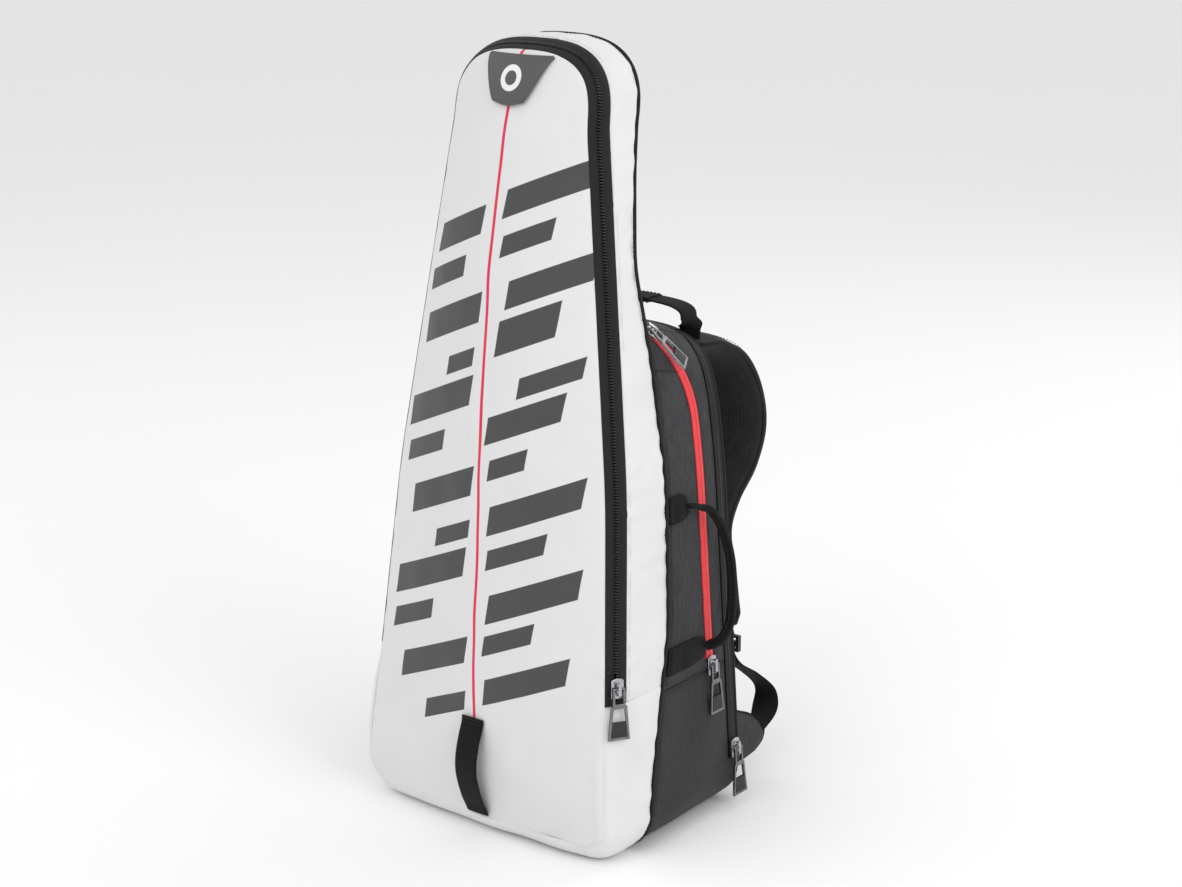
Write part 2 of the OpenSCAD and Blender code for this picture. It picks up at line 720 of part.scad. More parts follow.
// Distance of the strap ahead of the panel against its share of the length
GRAB = [[0, 3.8], [0.2, 9], [0.5, 12], [0.8, 8], [1, 3.8]];
module grab_strap() {
    line = smooth_line([for (g = GRAB)
        let (z = mix(grab_top, grab_low, g[0])) [0, crown_y(z, 0) - g[1], z]], 4);
    color("black") ribbon(line, webbing_w, webbing_t + 0.4, [1, 0, 0]);
}

// Right shoulder strap: padded part, buckle and webbing down to the wing
STRAP = [[62, 124, 428], [66, 148, 425], [72, 176, 408], [78, 194, 375], [80, 199, 338],
         [79, 186, 303], [77, 162, 276], [78, 146, 250], [84, 141, 220], [94, 140, 185], [103, 140.5, 155]];
WEBBING = [[107.6, 139.2, 128.5], [112, 148, 117], [118, 168, 103], [123, 191, 76], [124, 183, 51]];
module strap_pad() {
    color([0.3, 0.3, 0.32]) ribbon(smooth_line(STRAP, 3), strap_w, strap_t, [1, 0, 0]);
}
module strap_tail() {
    color("black") ribbon(smooth_line(WEBBING, 4), webbing_w, webbing_t, [1, 0, 0]);
}
// Ladder lock: a flat frame with two slots for the webbing
lock_at = [107, 140.4, 141];
lock_rim = 4.5;
lock_h = 16;
lock_t = 5;
slot_h = 3.6;
slot_z = 4;
module lock_shape() {
    color([0.08, 0.08, 0.09]) translate(lock_at) difference() {
        cube([webbing_w + 2 * lock_rim, lock_t, lock_h], center = true);
        for (z = [-slot_z, slot_z])
            translate([0, 0, z]) cube([webbing_w + 2, lock_t + 3, slot_h], center = true);
    }
}
module shoulder_strap_right() {
    strap_pad();
}
module strap_webbing_right() {
    strap_tail();
}
module ladder_lock_right() {
    lock_shape();
}
module shoulder_strap_left() {
    mirror([1, 0, 0]) strap_pad();
}
module strap_webbing_left() {
    mirror([1, 0, 0]) strap_tail();
}
module ladder_lock_left() {
    mirror([1, 0, 0]) lock_shape();
}

// Padded fin at the lower rear corner that the strap's webbing is sewn to
wing_x = 121;
wing_t = 4;
module wing_shape() {
    color(dark) translate([wing_x, 0, 0]) rotate([90, 0, 90]) linear_extrude(wing_t) polygon([
        [rear_y + 7, 22], [rear_y + 28, 20], [rear_y + 62, 24], [rear_y + 74, 30],
        [rear_y + 78, 40], [rear_y + 66, 52], [rear_y + 52, 64], [rear_y + 7, 84]]);
}
module wing_right() {
    wing_shape();
}
module wing_left() {
    mirror([1, 0, 0]) wing_shape();
}

racket_gusset();
racket_gusset_base();
front_lower_panel();
cover_zip_outer_tape();
cover_zip_ends();
racket_back_panel();
border_piping();
body_gusset();
side_front_panel();
side_rear_panel();
body_base();
side_zip_rear_tape();
side_zip_ends();
base_board();
laptop_divider();
back_panel();
back_pad_left();
back_pad_right();
lumbar_pad();
rear_zip_body_tape();
rear_zip_panel_tape();
wing_left();
wing_right();
handle_anchor_upper();
handle_anchor_lower();
front_cover_panel();
cover_foam();
cover_lining();
cover_zip_inner_tape();
badge_patch();
cover_slider();
cover_pull();
cover_pull_grip();
side_flap();
side_zip_front_tape();
side_handle();
side_slider_upper();
side_pull_upper();
side_pull_upper_grip();
side_slider_lower();
side_pull_lower();
side_pull_lower_grip();
rear_slider();
rear_pull();
rear_pull_grip();
haul_loop();
grab_strap();
shoulder_strap_left();
strap_webbing_left();
ladder_lock_left();
shoulder_strap_right();
strap_webbing_right();
ladder_lock_right();
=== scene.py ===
"""Racket backpack: soft goods, zips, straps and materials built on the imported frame.

Metres in the file that is rendered; the helper functions below work in millimetres.
+Z is up, the front cover faces -Y and the red side zip is on the +X side.
"""
import math

import bmesh
import bpy
import numpy as np
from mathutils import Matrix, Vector


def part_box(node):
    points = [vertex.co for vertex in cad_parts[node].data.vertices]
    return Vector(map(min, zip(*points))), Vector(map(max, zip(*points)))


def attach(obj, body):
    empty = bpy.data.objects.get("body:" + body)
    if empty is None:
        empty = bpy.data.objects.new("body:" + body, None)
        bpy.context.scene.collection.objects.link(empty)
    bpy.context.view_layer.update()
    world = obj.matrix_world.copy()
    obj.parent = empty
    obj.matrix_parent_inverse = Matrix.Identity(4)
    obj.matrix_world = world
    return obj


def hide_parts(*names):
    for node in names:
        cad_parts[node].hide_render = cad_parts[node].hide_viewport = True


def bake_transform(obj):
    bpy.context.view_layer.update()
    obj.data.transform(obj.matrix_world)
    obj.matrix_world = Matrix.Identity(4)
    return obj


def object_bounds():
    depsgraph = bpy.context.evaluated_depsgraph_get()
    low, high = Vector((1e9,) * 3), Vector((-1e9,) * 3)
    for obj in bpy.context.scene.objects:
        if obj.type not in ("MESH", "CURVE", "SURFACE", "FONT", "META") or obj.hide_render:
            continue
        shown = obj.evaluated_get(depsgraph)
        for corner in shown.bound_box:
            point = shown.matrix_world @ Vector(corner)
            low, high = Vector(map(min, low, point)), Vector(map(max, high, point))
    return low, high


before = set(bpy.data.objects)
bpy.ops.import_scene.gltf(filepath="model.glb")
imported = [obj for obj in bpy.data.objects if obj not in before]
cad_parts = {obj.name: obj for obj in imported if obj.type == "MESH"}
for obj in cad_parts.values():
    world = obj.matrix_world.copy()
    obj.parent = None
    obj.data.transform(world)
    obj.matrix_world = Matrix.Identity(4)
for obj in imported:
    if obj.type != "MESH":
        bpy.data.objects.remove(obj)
cad_low, cad_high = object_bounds()
MM = 0.001
PI = math.pi


# ---------------------------------------------------------------- numbers and lines

def mix(a, b, k):
    return a + (b - a) * k


def ease(k):
    return k * k * (3 - 2 * k)


def soft(v, power):
    """Power of a signed value; below 1 it squares off a circle."""
    return np.sign(v) * np.abs(v) ** power


def unit(v):
    return v / np.maximum(np.linalg.norm(v, axis=-1, keepdims=True), 1e-9)


def stack(*parts):
    """Points from coordinates that broadcast together."""
    return np.stack(np.broadcast_arrays(*parts), -1)


def turns(count):
    return np.linspace(0, 2 * PI, count, endpoint=False)


def tag_of(side):
    return "right" if side > 0 else "left"


def run_of(points):
    """Distance along a line at each of its points."""
    return np.r_[0, np.cumsum(np.linalg.norm(np.diff(points, axis=0), axis=1))]


def pick(columns, run, at):
    """Columns of values along a line, read at the distances in at."""
    return np.stack([np.interp(at, run, c) for c in np.asarray(columns, float).T], 1)


def resample(points, step):
    run = run_of(points)
    return pick(points, run, np.linspace(0, run[-1], max(2, int(round(run[-1] / step)) + 1)))


def smoothed(values, width, mode="edge"):
    kernel = np.hanning(width)
    return np.convolve(np.pad(values, width // 2, mode=mode), kernel / kernel.sum(), "valid")


def table(stations, window):
    """Smooth curve near a few stations (level, value)."""
    level = np.arange(-60.0, 820.0, 0.5)
    value = smoothed(np.interp(level, *zip(*stations)), int(window / 0.5) | 1)
    return lambda z: np.interp(z, level, value)


def smooth_line(points, n=8):
    """Curve through points, n steps between each pair."""
    p = np.asarray(points, float)
    q = np.concatenate([2 * p[:1] - p[1:2], p, 2 * p[-1:] - p[-2:-1]])
    k = np.arange(n)[:, None] / n
    out = [0.5 * (2 * b + (c - a) * k + (2 * a - 5 * b + 4 * c - d) * k ** 2
                  + (3 * b - a - 3 * c + d) * k ** 3) for a, b, c, d in zip(q, q[1:], q[2:], q[3:])]
    return np.concatenate(out + [p[-1:]])


# ---------------------------------------------------------------- outline of the bag

def top_of(node):
    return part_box(node)[1] / MM


HEIGHT = top_of("racket_gusset").z
HALF = top_of("racket_gusset_base").x
REAR = top_of("rear_zip_panel_tape").y
CORNER = 36.0
FLAT = HALF - CORNER
BAND_X, BAND_Y = 9.0, 19.0
LIFT = 16.0
CAP_Z = 0.903 * HEIGHT
CAP_SQUARE = 2.8
CAP_W = 0.557 * HALF
ZIP_LOW = 150.0
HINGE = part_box("front_cover_panel")[0].z / MM - 0.6
PIPE = 1.6

# Curves against the level: half width, depth of the front edge seam, bulge of the front
# panel ahead of it, and depth of the seam between the white and the dark compartment
half_w = table([(0.051 * HEIGHT, HALF), (0.465 * HEIGHT, 0.852 * HALF),
                (0.903 * HEIGHT, CAP_W), (1.1 * HEIGHT, 0.42 * HALF)], 110)
edge_y = table([(16, -86), (60, -89), (150, -77), (330, -59), (640, -28), (700, -19), (720, -15)], 70)
crown = table([(16, 6), (60, 10), (150, 21), (330, 30), (520, 30), (640, 20), (700, 12), (720, 7)], 60)
border_y = table([(0, -36), (60, -27), (115, -14), (200, 9), (330, 17), (440, 14),
                  (520, 5), (600, 19), (650, 32), (720, 42)], 60)


def outline_half():
    """Right half of the outline from the middle of the bottom to the middle of the top."""
    turn = np.radians(np.arange(0, 91, 3.0))
    side = np.arange(CORNER + 2, CAP_Z, 2.0)
    cap = np.radians(np.r_[0, 0.2, 0.6, np.arange(1.5, 88.6, 1.0), 89.4, 89.8, 90])
    path = resample(np.r_[
        [[0.0, 0.0]],
        stack(FLAT + CORNER * np.sin(turn), CORNER - CORNER * np.cos(turn)),
        stack(half_w(side), side),
        stack(CAP_W * np.cos(cap) ** (2 / CAP_SQUARE),
              CAP_Z + (HEIGHT - CAP_Z) * np.sin(cap) ** (2 / CAP_SQUARE))], 1.0)
    n = len(path)
    whole = np.r_[path[::-1][:-1] * [-1, 1], path, path[::-1][1:] * [-1, 1]]
    path = np.stack([smoothed(c, 27) for c in whole.T], 1)[n - 1: 2 * n - 1]
    path[:, 1] *= HEIGHT / path[-1, 1]
    return path


OUT = outline_half()
RUN = run_of(OUT)
LENGTH = RUN[-1]
HEADING = unit(np.gradient(OUT, axis=0))
INWARD = stack(-HEADING[:, 1], HEADING[:, 0])


def run_at(z):
    """Arc length from the middle of the bottom to a level on the right side."""
    return float(np.interp(z, OUT[:, 1], RUN))


def rim(a, inset=0.0):
    """Points (x, z) on the outline, moved inward. a runs round from the middle of the
    bottom up the right side, over the top and down the left side."""
    a = np.mod(a, 2 * LENGTH)
    left = a > LENGTH
    x, z, nx, nz = (np.interp(np.where(left, 2 * LENGTH - a, a), RUN, c) for c in (*OUT.T, *INWARD.T))
    return (x + nx * inset) * np.where(left, -1.0, 1.0), z + nz * inset


def ring_points(a, inset, y):
    x, z = rim(a, inset)
    return stack(x, y, z)


def rim_outward(a):
    """Directions that point out of the bag, square to the outline."""
    return ring_points(a, -1.0, 0.0) - ring_points(a, 0.0, 0.0)


def seam_inset(a):
    return BAND_X + (LIFT - BAND_X) * ease(np.clip((CORNER - rim(a)[1]) / CORNER, 0, 1))


SEAM_RUN = np.linspace(0, LENGTH, 900)
SEAM_X, SEAM_Z = (c[SEAM_RUN > FLAT] for c in rim(SEAM_RUN, seam_inset(SEAM_RUN)))


def panel_w(z):
    """Half width of the front panel inside its seam."""
    return np.interp(z, SEAM_Z, SEAM_X)


def panel_y(x, z):
    w = np.maximum(panel_w(z), 1e-3)
    swell = crown(z) * np.clip(w / 74, 0, 1) ** 0.8
    return edge_y(z) - swell * (1 - np.clip(np.abs(x) / w, 0, 1) ** 2)


# Main compartment
SHOULDER, ARCH_LEN = 330.0, 250.0
ARCH_TOP = SHOULDER + ARCH_LEN
ROOF_FRONT, ROOF_REAR = 475.0, 446.0
FRONT_SQUARE, REAR_SQUARE = 8.0, 4.9
REAR_INSET = 3
TAPE_W = 6.0
BODY_END = REAR - 2 * TAPE_W - 1
BASE_TOP = 142.0


def low_x(z):
    drop = np.clip(CORNER - z, 0, CORNER)
    return np.where(z < CORNER, FLAT + np.sqrt(CORNER ** 2 - drop ** 2), half_w(z))


def arch(s, top, n, inset):
    turn = np.radians(90 * np.clip((s - SHOULDER) / ARCH_LEN, 0, 1))
    c, q = np.cos(turn), np.sin(turn)
    size = (c ** n + q ** n) ** (1 / n)
    z = np.where(s <= SHOULDER, s, SHOULDER + (top - SHOULDER) * q / size)
    return np.where(s <= SHOULDER, low_x(s) - inset, (half_w(z) - inset) * c / size), z


def folded(s):
    """The right side's measure for a point that may be past the middle of the roof."""
    return np.where(s > ARCH_TOP, 2 * ARCH_TOP - s, s)


def body(s, y, lift=0.0):
    """Point on the main compartment: s runs up the right side, over the roof and down
    the left, y is its depth and lift moves it outward."""
    s, y = np.broadcast_arrays(np.asarray(s, float), np.asarray(y, float))
    fx, fz = arch(folded(s), ROOF_FRONT + lift, FRONT_SQUARE, -lift)
    rx, rz = arch(folded(s), ROOF_REAR + lift, REAR_SQUARE, REAR_INSET - lift)
    b = border_y(fz)
    k = (y - b) / (REAR - b)
    x = mix(fx, rx, k)
    return stack(np.where(s > ARCH_TOP, -x, x), y, mix(fz, rz, k))


def body_start(s):
    return border_y(arch(folded(s), ROOF_FRONT, FRONT_SQUARE, 0.0)[1]) + PIPE + 0.2


# Side zip and flap: a share q of the zip's length runs upright to BEND_Q, then curves forward
ZIP_Y, ZIP_FRONT = 70.0, 22.0
ZIP_S0, ZIP_S1, BEND_S = 152.0, 458.0, 385.0
BEND_Q = 0.65
RISE, REACH = ZIP_S1 - BEND_S, ZIP_Y - ZIP_FRONT
BEND_R = (RISE ** 2 + REACH ** 2) / (2 * REACH)
BEND = 2 * math.atan(REACH / RISE)
TAPE = 4.5
FLAP_Q0, FLAP_Q1 = 0.04, 0.82
FOLD_LOW_Y, FOLD_TOP_Y, FOLD_TOP_S = ZIP_Y - 16, 16.0, ZIP_S1 - 20


def past_bend(q):
    return np.clip((q - BEND_Q) / (1 - BEND_Q), 0, 1)


def side_zip(q, d=0.0):
    """(s, y) of the side zip, moved across by d."""
    q = np.asarray(q, float)
    a = BEND * past_bend(q)
    s = np.where(q < BEND_Q, mix(ZIP_S0, BEND_S, q / BEND_Q), BEND_S + BEND_R * np.sin(a))
    y = ZIP_Y - BEND_R * (1 - np.cos(a))
    return s + d * np.sin(a), y + d * np.cos(a)


def fold_y(s):
    return mix(FOLD_LOW_Y, FOLD_TOP_Y, (s - ZIP_S0) / (FOLD_TOP_S - ZIP_S0))


# ---------------------------------------------------------------- cloth and mesh helpers

def waves(p, size, seed, count=14):
    """Smooth irregular field between about -1 and 1, the same on every run."""
    rng = np.random.default_rng(seed)
    k = rng.normal(size=(count, p.shape[-1]))
    k *= (2 * PI / size) * rng.uniform(0.6, 1.4, count)[:, None] / np.linalg.norm(k, axis=1)[:, None]
    phase = rng.uniform(0, 2 * PI, count)
    return np.sin(p @ k.T + phase).sum(-1) / math.sqrt(count)


def creases(at, seed, count, low, high, length, width, lean):
    """Scattered soft folds: short ridges and valleys that mostly lean one way."""
    rng = np.random.default_rng(seed)
    total = np.zeros(at.shape[:-1])
    for _ in range(count):
        turn = lean + rng.normal(0, 0.4)
        way = np.array([math.cos(turn), math.sin(turn)])
        d = at - rng.uniform(low, high)
        reach, wide = length * rng.uniform(0.6, 1.4), width * rng.uniform(0.7, 1.4)
        along, across = d @ way / reach, (d[..., 1] * way[0] - d[..., 0] * way[1]) / wide
        total += rng.uniform(0.4, 1.0) * rng.choice([-1, 1]) * np.exp(-along ** 2 - across ** 2)
    return total


def pucker(along, away, amount, seed, reach=11.0, size=26.0):
    """Small gathers beside a seam that die away from it."""
    return amount * np.exp(-away / reach) * waves(along[..., None], size, seed, 8)


def spread(n, dense=0.0):
    """Shares from 0 to 1, closer together at both ends for dense above 0."""
    t = np.linspace(0, 1, n)
    return (1 - dense) * t + dense * (1 - np.cos(PI * t)) / 2


def outward(p, centre=(0, 0, 300)):
    """Normals of a sheet, away from centre, and whether they had to be turned for that."""
    n = unit(np.cross(np.gradient(p, axis=0), np.gradient(p, axis=1)))
    flip = np.sum(n * (p - np.array(centre))) < 0
    return (-n if flip else n), flip


def lengths(p):
    """Distances along rows and columns, which carry the weave."""
    across = np.linalg.norm(np.diff(p, axis=1), axis=-1)
    along = np.linalg.norm(np.diff(p, axis=0), axis=-1)
    u = np.concatenate([np.zeros((len(p), 1)), np.cumsum(across, 1)], 1)
    u -= u.mean(1)[:, None]
    return stack(u, np.r_[0, np.cumsum(along.mean(1))][:, None])


def new_mesh(name, verts, faces, uv, material, sharp=42):
    me = bpy.data.meshes.new(name)
    me.from_pydata((np.asarray(verts) * MM).tolist(), [], [list(map(int, f)) for f in faces])
    layer = me.uv_layers.new(name="Cloth")
    index = np.empty(len(me.loops), int)
    me.loops.foreach_get("vertex_index", index)
    layer.data.foreach_set("uv", (np.asarray(uv)[index] * MM).astype(np.float32).ravel())
    me.shade_smooth()
    me.set_sharp_from_angle(angle=math.radians(sharp))
    me.materials.append(material)
    ob = bpy.data.objects.new(name, me)
    bpy.context.scene.collection.objects.link(ob)
    return ob


def faced_out(ob):
    bm = bmesh.new()
    bm.from_mesh(ob.data)
    bmesh.ops.recalc_face_normals(bm, faces=bm.faces)
    bm.to_mesh(ob.data)
    bm.free()
    return ob


def grid_edge(rows, cols):
    """Indices round the edge of a grid, back to the first."""
    return np.r_[np.arange(cols), np.arange(1, rows) * cols + cols - 1,
                 (rows - 1) * cols + np.arange(cols - 2, -1, -1), np.arange(rows - 2, -1, -1) * cols]


def sheet_faces(rows, cols, flip):
    """Faces of a sheet with two sides: an outer grid of points, then an inner one."""
    size = rows * cols
    a = (np.arange(rows - 1)[:, None] * cols + np.arange(cols - 1)[None]).ravel()
    face = np.stack([a, a + 1, a + cols + 1, a + cols], 1)
    e = grid_edge(rows, cols)
    side = np.stack([e[:-1], e[1:], e[1:] + size, e[:-1] + size], 1)
    if flip:
        return np.concatenate([face, face[:, ::-1] + size, side[:, ::-1]])
    return np.concatenate([face[:, ::-1], face + size, side])


def cloth(name, p, material, thick=2.0, uv=None, centre=(0, 0, 300), sharp=50):
    """Sheet with an outer and an inner face from rows and columns of outer points."""
    n, flip = outward(p, centre)
    verts = np.concatenate([p.reshape(-1, 3), (p - n * thick).reshape(-1, 3)])
    flat = (lengths(p) if uv is None else uv).reshape(-1, 2)
    return new_mesh(name, verts, sheet_faces(*p.shape[:2], flip), np.concatenate([flat, flat]), material, sharp)


def loft(name, p, material, uv=None, closed=False, sharp=50):
    """Tube from sections (rows of points round it), capped or joined end to end."""
    rows, cols = p.shape[:2]
    a = np.arange(rows - 1)[:, None] * cols + np.arange(cols)[None]
    b = np.arange(rows - 1)[:, None] * cols + (np.arange(cols)[None] + 1) % cols
    faces = np.stack([a, b, b + cols, a + cols], -1).reshape(-1, 4).tolist()
    last = (rows - 1) * cols
    if closed:
        faces += [[last + i, last + (i + 1) % cols, (i + 1) % cols, i] for i in range(cols)]
    else:
        faces += [list(range(cols))[::-1], [last + i for i in range(cols)]]
    uv = lengths(np.concatenate([p, p[:, :1]], 1))[:, :-1] if uv is None else uv
    return faced_out(new_mesh(name, p.reshape(-1, 3), faces, uv.reshape(-1, 2), material, sharp))


def frames(line, across):
    """Width and face directions along a line."""
    way = unit(np.gradient(line, axis=0))
    face = unit(np.cross(way, np.broadcast_to(np.asarray(across, float), line.shape)))
    return np.cross(face, way), face


def strap(name, line, width, thick, across, material, corner=0.5, count=20):
    """Band with softly rounded edges; width and thick are numbers or one value a point."""
    side, face = frames(line, across)
    cx, cy = soft(np.cos(turns(count)), corner), soft(np.sin(turns(count)), corner)
    width, thick = (np.broadcast_to(np.asarray(w, float), len(line))[:, None, None] for w in (width, thick))
    p = (line[:, None] + side[:, None] * cx[None, :, None] * width / 2
         + face[:, None] * cy[None, :, None] * thick / 2)
    return loft(name, p, material, stack(cx[None] * width[..., 0] / 2, run_of(line)[:, None]), sharp=60)


def tube(name, line, u, v, material, count=8, closed=False):
    """Round cord along a line; u and v are its two half widths as vectors."""
    u, v = (np.broadcast_to(w, line.shape)[:, None] for w in (u, v))
    turn = turns(count)[None, :, None]
    return loft(name, line[:, None] + u * np.cos(turn) + v * np.sin(turn), material, closed=closed)


def stitches(name, path, face, material, pitch=4.2, size=2.8, r=0.42):
    """Row of short threads lying on a surface. path and face (its normals) are in step."""
    face = np.broadcast_to(face, path.shape)
    run = run_of(path)
    at = np.arange(pitch / 2, run[-1], pitch)
    a, b = pick(path, run, at - size / 2), pick(path, run, at + size / 2)
    n = unit(pick(face, run, at))
    side = np.cross(unit(b - a), n)
    rows = []
    for k, w in ((0, 0.35), (0.2, 1), (0.8, 1), (1, 0.35)):
        mid = mix(a, b, k) + n * (r * 0.55 * w)
        rows += [mid + side * r * w, mid + n * r * w * 0.8, mid - side * r * w, mid - n * r * w]
    verts = np.stack(rows, 1).reshape(-1, 3)
    ring = np.array([[j * 4 + i, j * 4 + (i + 1) % 4, j * 4 + 4 + (i + 1) % 4, j * 4 + 4 + i]
                     for j in range(3) for i in range(4)] + [[3, 2, 1, 0], [12, 13, 14, 15]])
    faces = (np.arange(len(at))[:, None, None] * 16 + ring[None]).reshape(-1, 4)
    return new_mesh(name, verts, faces, verts[:, :2], material, 80)


def teeth(name, path, up, beside, material, pitch, size):
    """Moulded coil turns along one edge of a zip tape; up and beside are lines next to path."""
    run = run_of(path)
    at = np.arange(pitch / 2, run[-1], pitch)
    o, n, s = pick(path, run, at), unit(pick(up - path, run, at)), unit(pick(beside - path, run, at))
    way = np.cross(n, s)
    section = ((-0.5, 0.0), (-0.5, 0.7), (-0.2, 1.0), (0.2, 1.0), (0.5, 0.7), (0.5, 0.0))
    verts = np.stack([o + way * size[0] * v + n * size[1] * w + s * size[2] * u
                      for u in (-0.5, 0.5) for v, w in section], 1)
    ring = [[i, (i + 1) % 6, 6 + (i + 1) % 6, 6 + i] for i in range(6)]
    caps = [[5, 4, 3, 2, 1, 0], [6, 7, 8, 9, 10, 11]]
    faces = [[b * 12 + i for i in f] for b in range(len(at)) for f in ring + caps]
    verts = verts.reshape(-1, 3)
    return new_mesh(name, verts, faces, verts[:, :2], material, 40)


def keep_on(ob, slot, *nodes, on="bag"):
    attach(ob, on)
    if nodes:
        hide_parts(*nodes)
    return ob


def bend_between(ob, a, b, start, end, slot, *nodes):
    """Bakes the cloth's transform into its mesh and hides the given nodes; the cloth is not bent and follows no
    body. a, b, start and end are not used.
    """
    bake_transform(ob)
    if nodes:
        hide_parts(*nodes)


def sew(name, path, face, on="bag", slot="black_webbing", **size):
    keep_on(stitches(name, path, face, BLACK_THREAD, **size), slot, on=on)


def bevelled(node, body_name, slot, material, width, segments=3):
    """Copy of a hard CAD piece with its edges eased."""
    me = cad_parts[node].data.copy()
    me.name = node + "_shaped"
    me.materials.clear()
    me.materials.append(material)
    ob = bpy.data.objects.new(node + "_shaped", me)
    bpy.context.scene.collection.objects.link(ob)
    bm = bmesh.new()
    bm.from_mesh(me)
    bmesh.ops.remove_doubles(bm, verts=bm.verts, dist=1e-6)
    bmesh.ops.dissolve_limit(bm, angle_limit=math.radians(2), verts=bm.verts, edges=bm.edges)
    edges = [e for e in bm.edges if len(e.link_faces) == 2 and e.calc_face_angle(0) > math.radians(35)]
    bmesh.ops.bevel(bm, geom=edges, offset=width * MM, segments=segments, profile=0.6,
                    affect="EDGES", clamp_overlap=True)
    bm.to_mesh(me)
    bm.free()
    me.shade_smooth()
    me.set_sharp_from_angle(angle=math.radians(35))
    return keep_on(ob, slot, node, on=body_name)


# ---------------------------------------------------------------- materials

class Shader:
    """Small builder for node materials; uv is in metres along the cloth."""

    def __init__(self, name, rough=0.7, metallic=0.0, sheen=0.0, coat=0.0, specular=0.5):
        self.mat = bpy.data.materials.new(name)
        self.mat.use_nodes = True
        self.nt = self.mat.node_tree
        self.bsdf = self.nt.nodes["Principled BSDF"]
        for key, value in (("Roughness", rough), ("Metallic", metallic), ("Sheen Weight", sheen),
                           ("Sheen Roughness", 0.5), ("Coat Weight", coat), ("Coat Roughness", 0.3),
                           ("Specular IOR Level", specular)):
            self.bsdf.inputs[key].default_value = value
        self.height = None

    def feed(self, socket, value):
        """Link another node's output to a socket, or set a constant on it."""
        if isinstance(value, bpy.types.NodeSocket):
            self.nt.links.new(value, socket)
        else:
            socket.default_value = value

    def add(self, kind, **inputs):
        node = self.nt.nodes.new(kind)
        for key, value in inputs.items():
            self.feed(node.inputs[key.replace("_", " ")], value)
        return node

    def math(self, op, *values):
        node = self.nt.nodes.new("ShaderNodeMath")
        node.operation = op
        for socket, value in zip(node.inputs, values):
            self.feed(socket, value)
        return node.outputs[0]

    def times(self, a, b):
        return self.math("MULTIPLY", a, b)

    def less(self, a, b):
        return self.math("SUBTRACT", a, b)

    def sine(self, value, k):
        return self.math("SINE", self.times(value, k))

    def total(self, *terms):
        out = terms[0]
        for t in terms[1:]:
            out = self.math("ADD", out, t)
        return out

    def uv(self):
        node = self.add("ShaderNodeUVMap")
        node.uv_map = "Cloth"
        split = self.add("ShaderNodeSeparateXYZ", Vector=node.outputs[0])
        return node.outputs[0], split.outputs[0], split.outputs[1]

    def place(self):
        return self.add("ShaderNodeTexCoord").outputs["Object"]

    def noise(self, vector, scale, detail=3.0, stretch=None):
        if stretch is not None:
            vector = self.add("ShaderNodeMapping", Vector=vector, Scale=stretch).outputs[0]
        return self.add("ShaderNodeTexNoise", Vector=vector, Scale=scale, Detail=detail,
                        Roughness=0.55).outputs[0]

    def ramp(self, value, low, high, to_low=0.0, to_high=1.0):
        return self.add("ShaderNodeMapRange", Value=value, From_Min=low, From_Max=high,
                        To_Min=to_low, To_Max=to_high).outputs[0]

    def inside(self, value, half, edge):
        """1 where value is within half of 0, both in millimetres, with a soft edge."""
        return self.ramp(self.math("ABSOLUTE", value), (half - edge) * MM, (half + edge) * MM, 1.0, 0.0)

    def blend(self, share, a, b):
        node = self.nt.nodes.new("ShaderNodeMix")
        node.data_type = "RGBA"
        for key, value in ((0, share), (6, a), (7, b)):
            self.feed(node.inputs[key], (*value, 1.0) if isinstance(value, tuple) else value)
        return node.outputs[2]

    def weave(self, u, v, pitch):
        """Plain weave: raised crossings of two sets of threads."""
        k = 2 * PI / (pitch * MM)
        return self.times(self.sine(u, k), self.sine(v, k))

    def bump(self, height, distance, strength):
        node = self.add("ShaderNodeBump", Height=height, Distance=distance * MM, Strength=strength)
        if self.height is not None:
            self.nt.links.new(self.height, node.inputs["Normal"])
        self.height = node.outputs[0]
        self.nt.links.new(self.height, self.bsdf.inputs["Normal"])

    def paint(self, colour):
        self.feed(self.bsdf.inputs["Base Color"], colour)

    def roughen(self, value):
        self.feed(self.bsdf.inputs["Roughness"], value)


def woven(name, dark, light, pitch, rough=(0.6, 0.75), weave_bump=0.16, heather=0.0, specular=0.2):
    """Woven cloth in two close tones."""
    s = Shader(name, sheen=0.05, specular=specular)
    vec, u, v = s.uv()
    cloth_weave = s.weave(u, v, pitch)
    large = s.noise(vec, 16, 3)
    fine = s.noise(vec, 900, 2)
    streak = s.noise(vec, 420, 3, stretch=(1.0, 0.16, 1.0))
    share = s.total(s.times(large, 0.45), s.times(fine, 0.3), s.times(s.less(streak, 0.5), heather),
                    s.times(cloth_weave, 0.12))
    s.paint(s.blend(s.ramp(share, 0.1, 0.65), dark, light))
    s.bump(large, 1.2, 0.5)
    s.bump(s.total(s.times(cloth_weave, 0.6), fine), weave_bump, 0.8)
    s.roughen(s.ramp(large, 0.3, 0.7, *rough))
    return s.mat


# x, z, half width and half height of each printed bar; they share one slant and never touch
PRINT_BARS = [
    (50, 590, 38, 12), (34, 547, 22, 9), (56, 512, 34, 12), (40, 470, 26, 15), (64, 430, 26, 9),
    (42, 392, 34, 12), (30, 351, 18, 9), (56, 316, 42, 13), (40, 274, 28, 9), (58, 236, 42, 13),
    (36, 194, 24, 9), (54, 158, 40, 12),
    (-42, 546, 28, 12), (-56, 506, 24, 9), (-46, 468, 36, 13), (-30, 433, 16, 8), (-58, 392, 42, 13),
    (-74, 349, 26, 9), (-48, 314, 38, 13), (-32, 278, 20, 8), (-62, 236, 44, 13), (-82, 192, 26, 9),
    (-52, 158, 40, 12), (-36, 117, 24, 9)]
PRINT_RISE, PRINT_LEAN = 0.42, 0.13


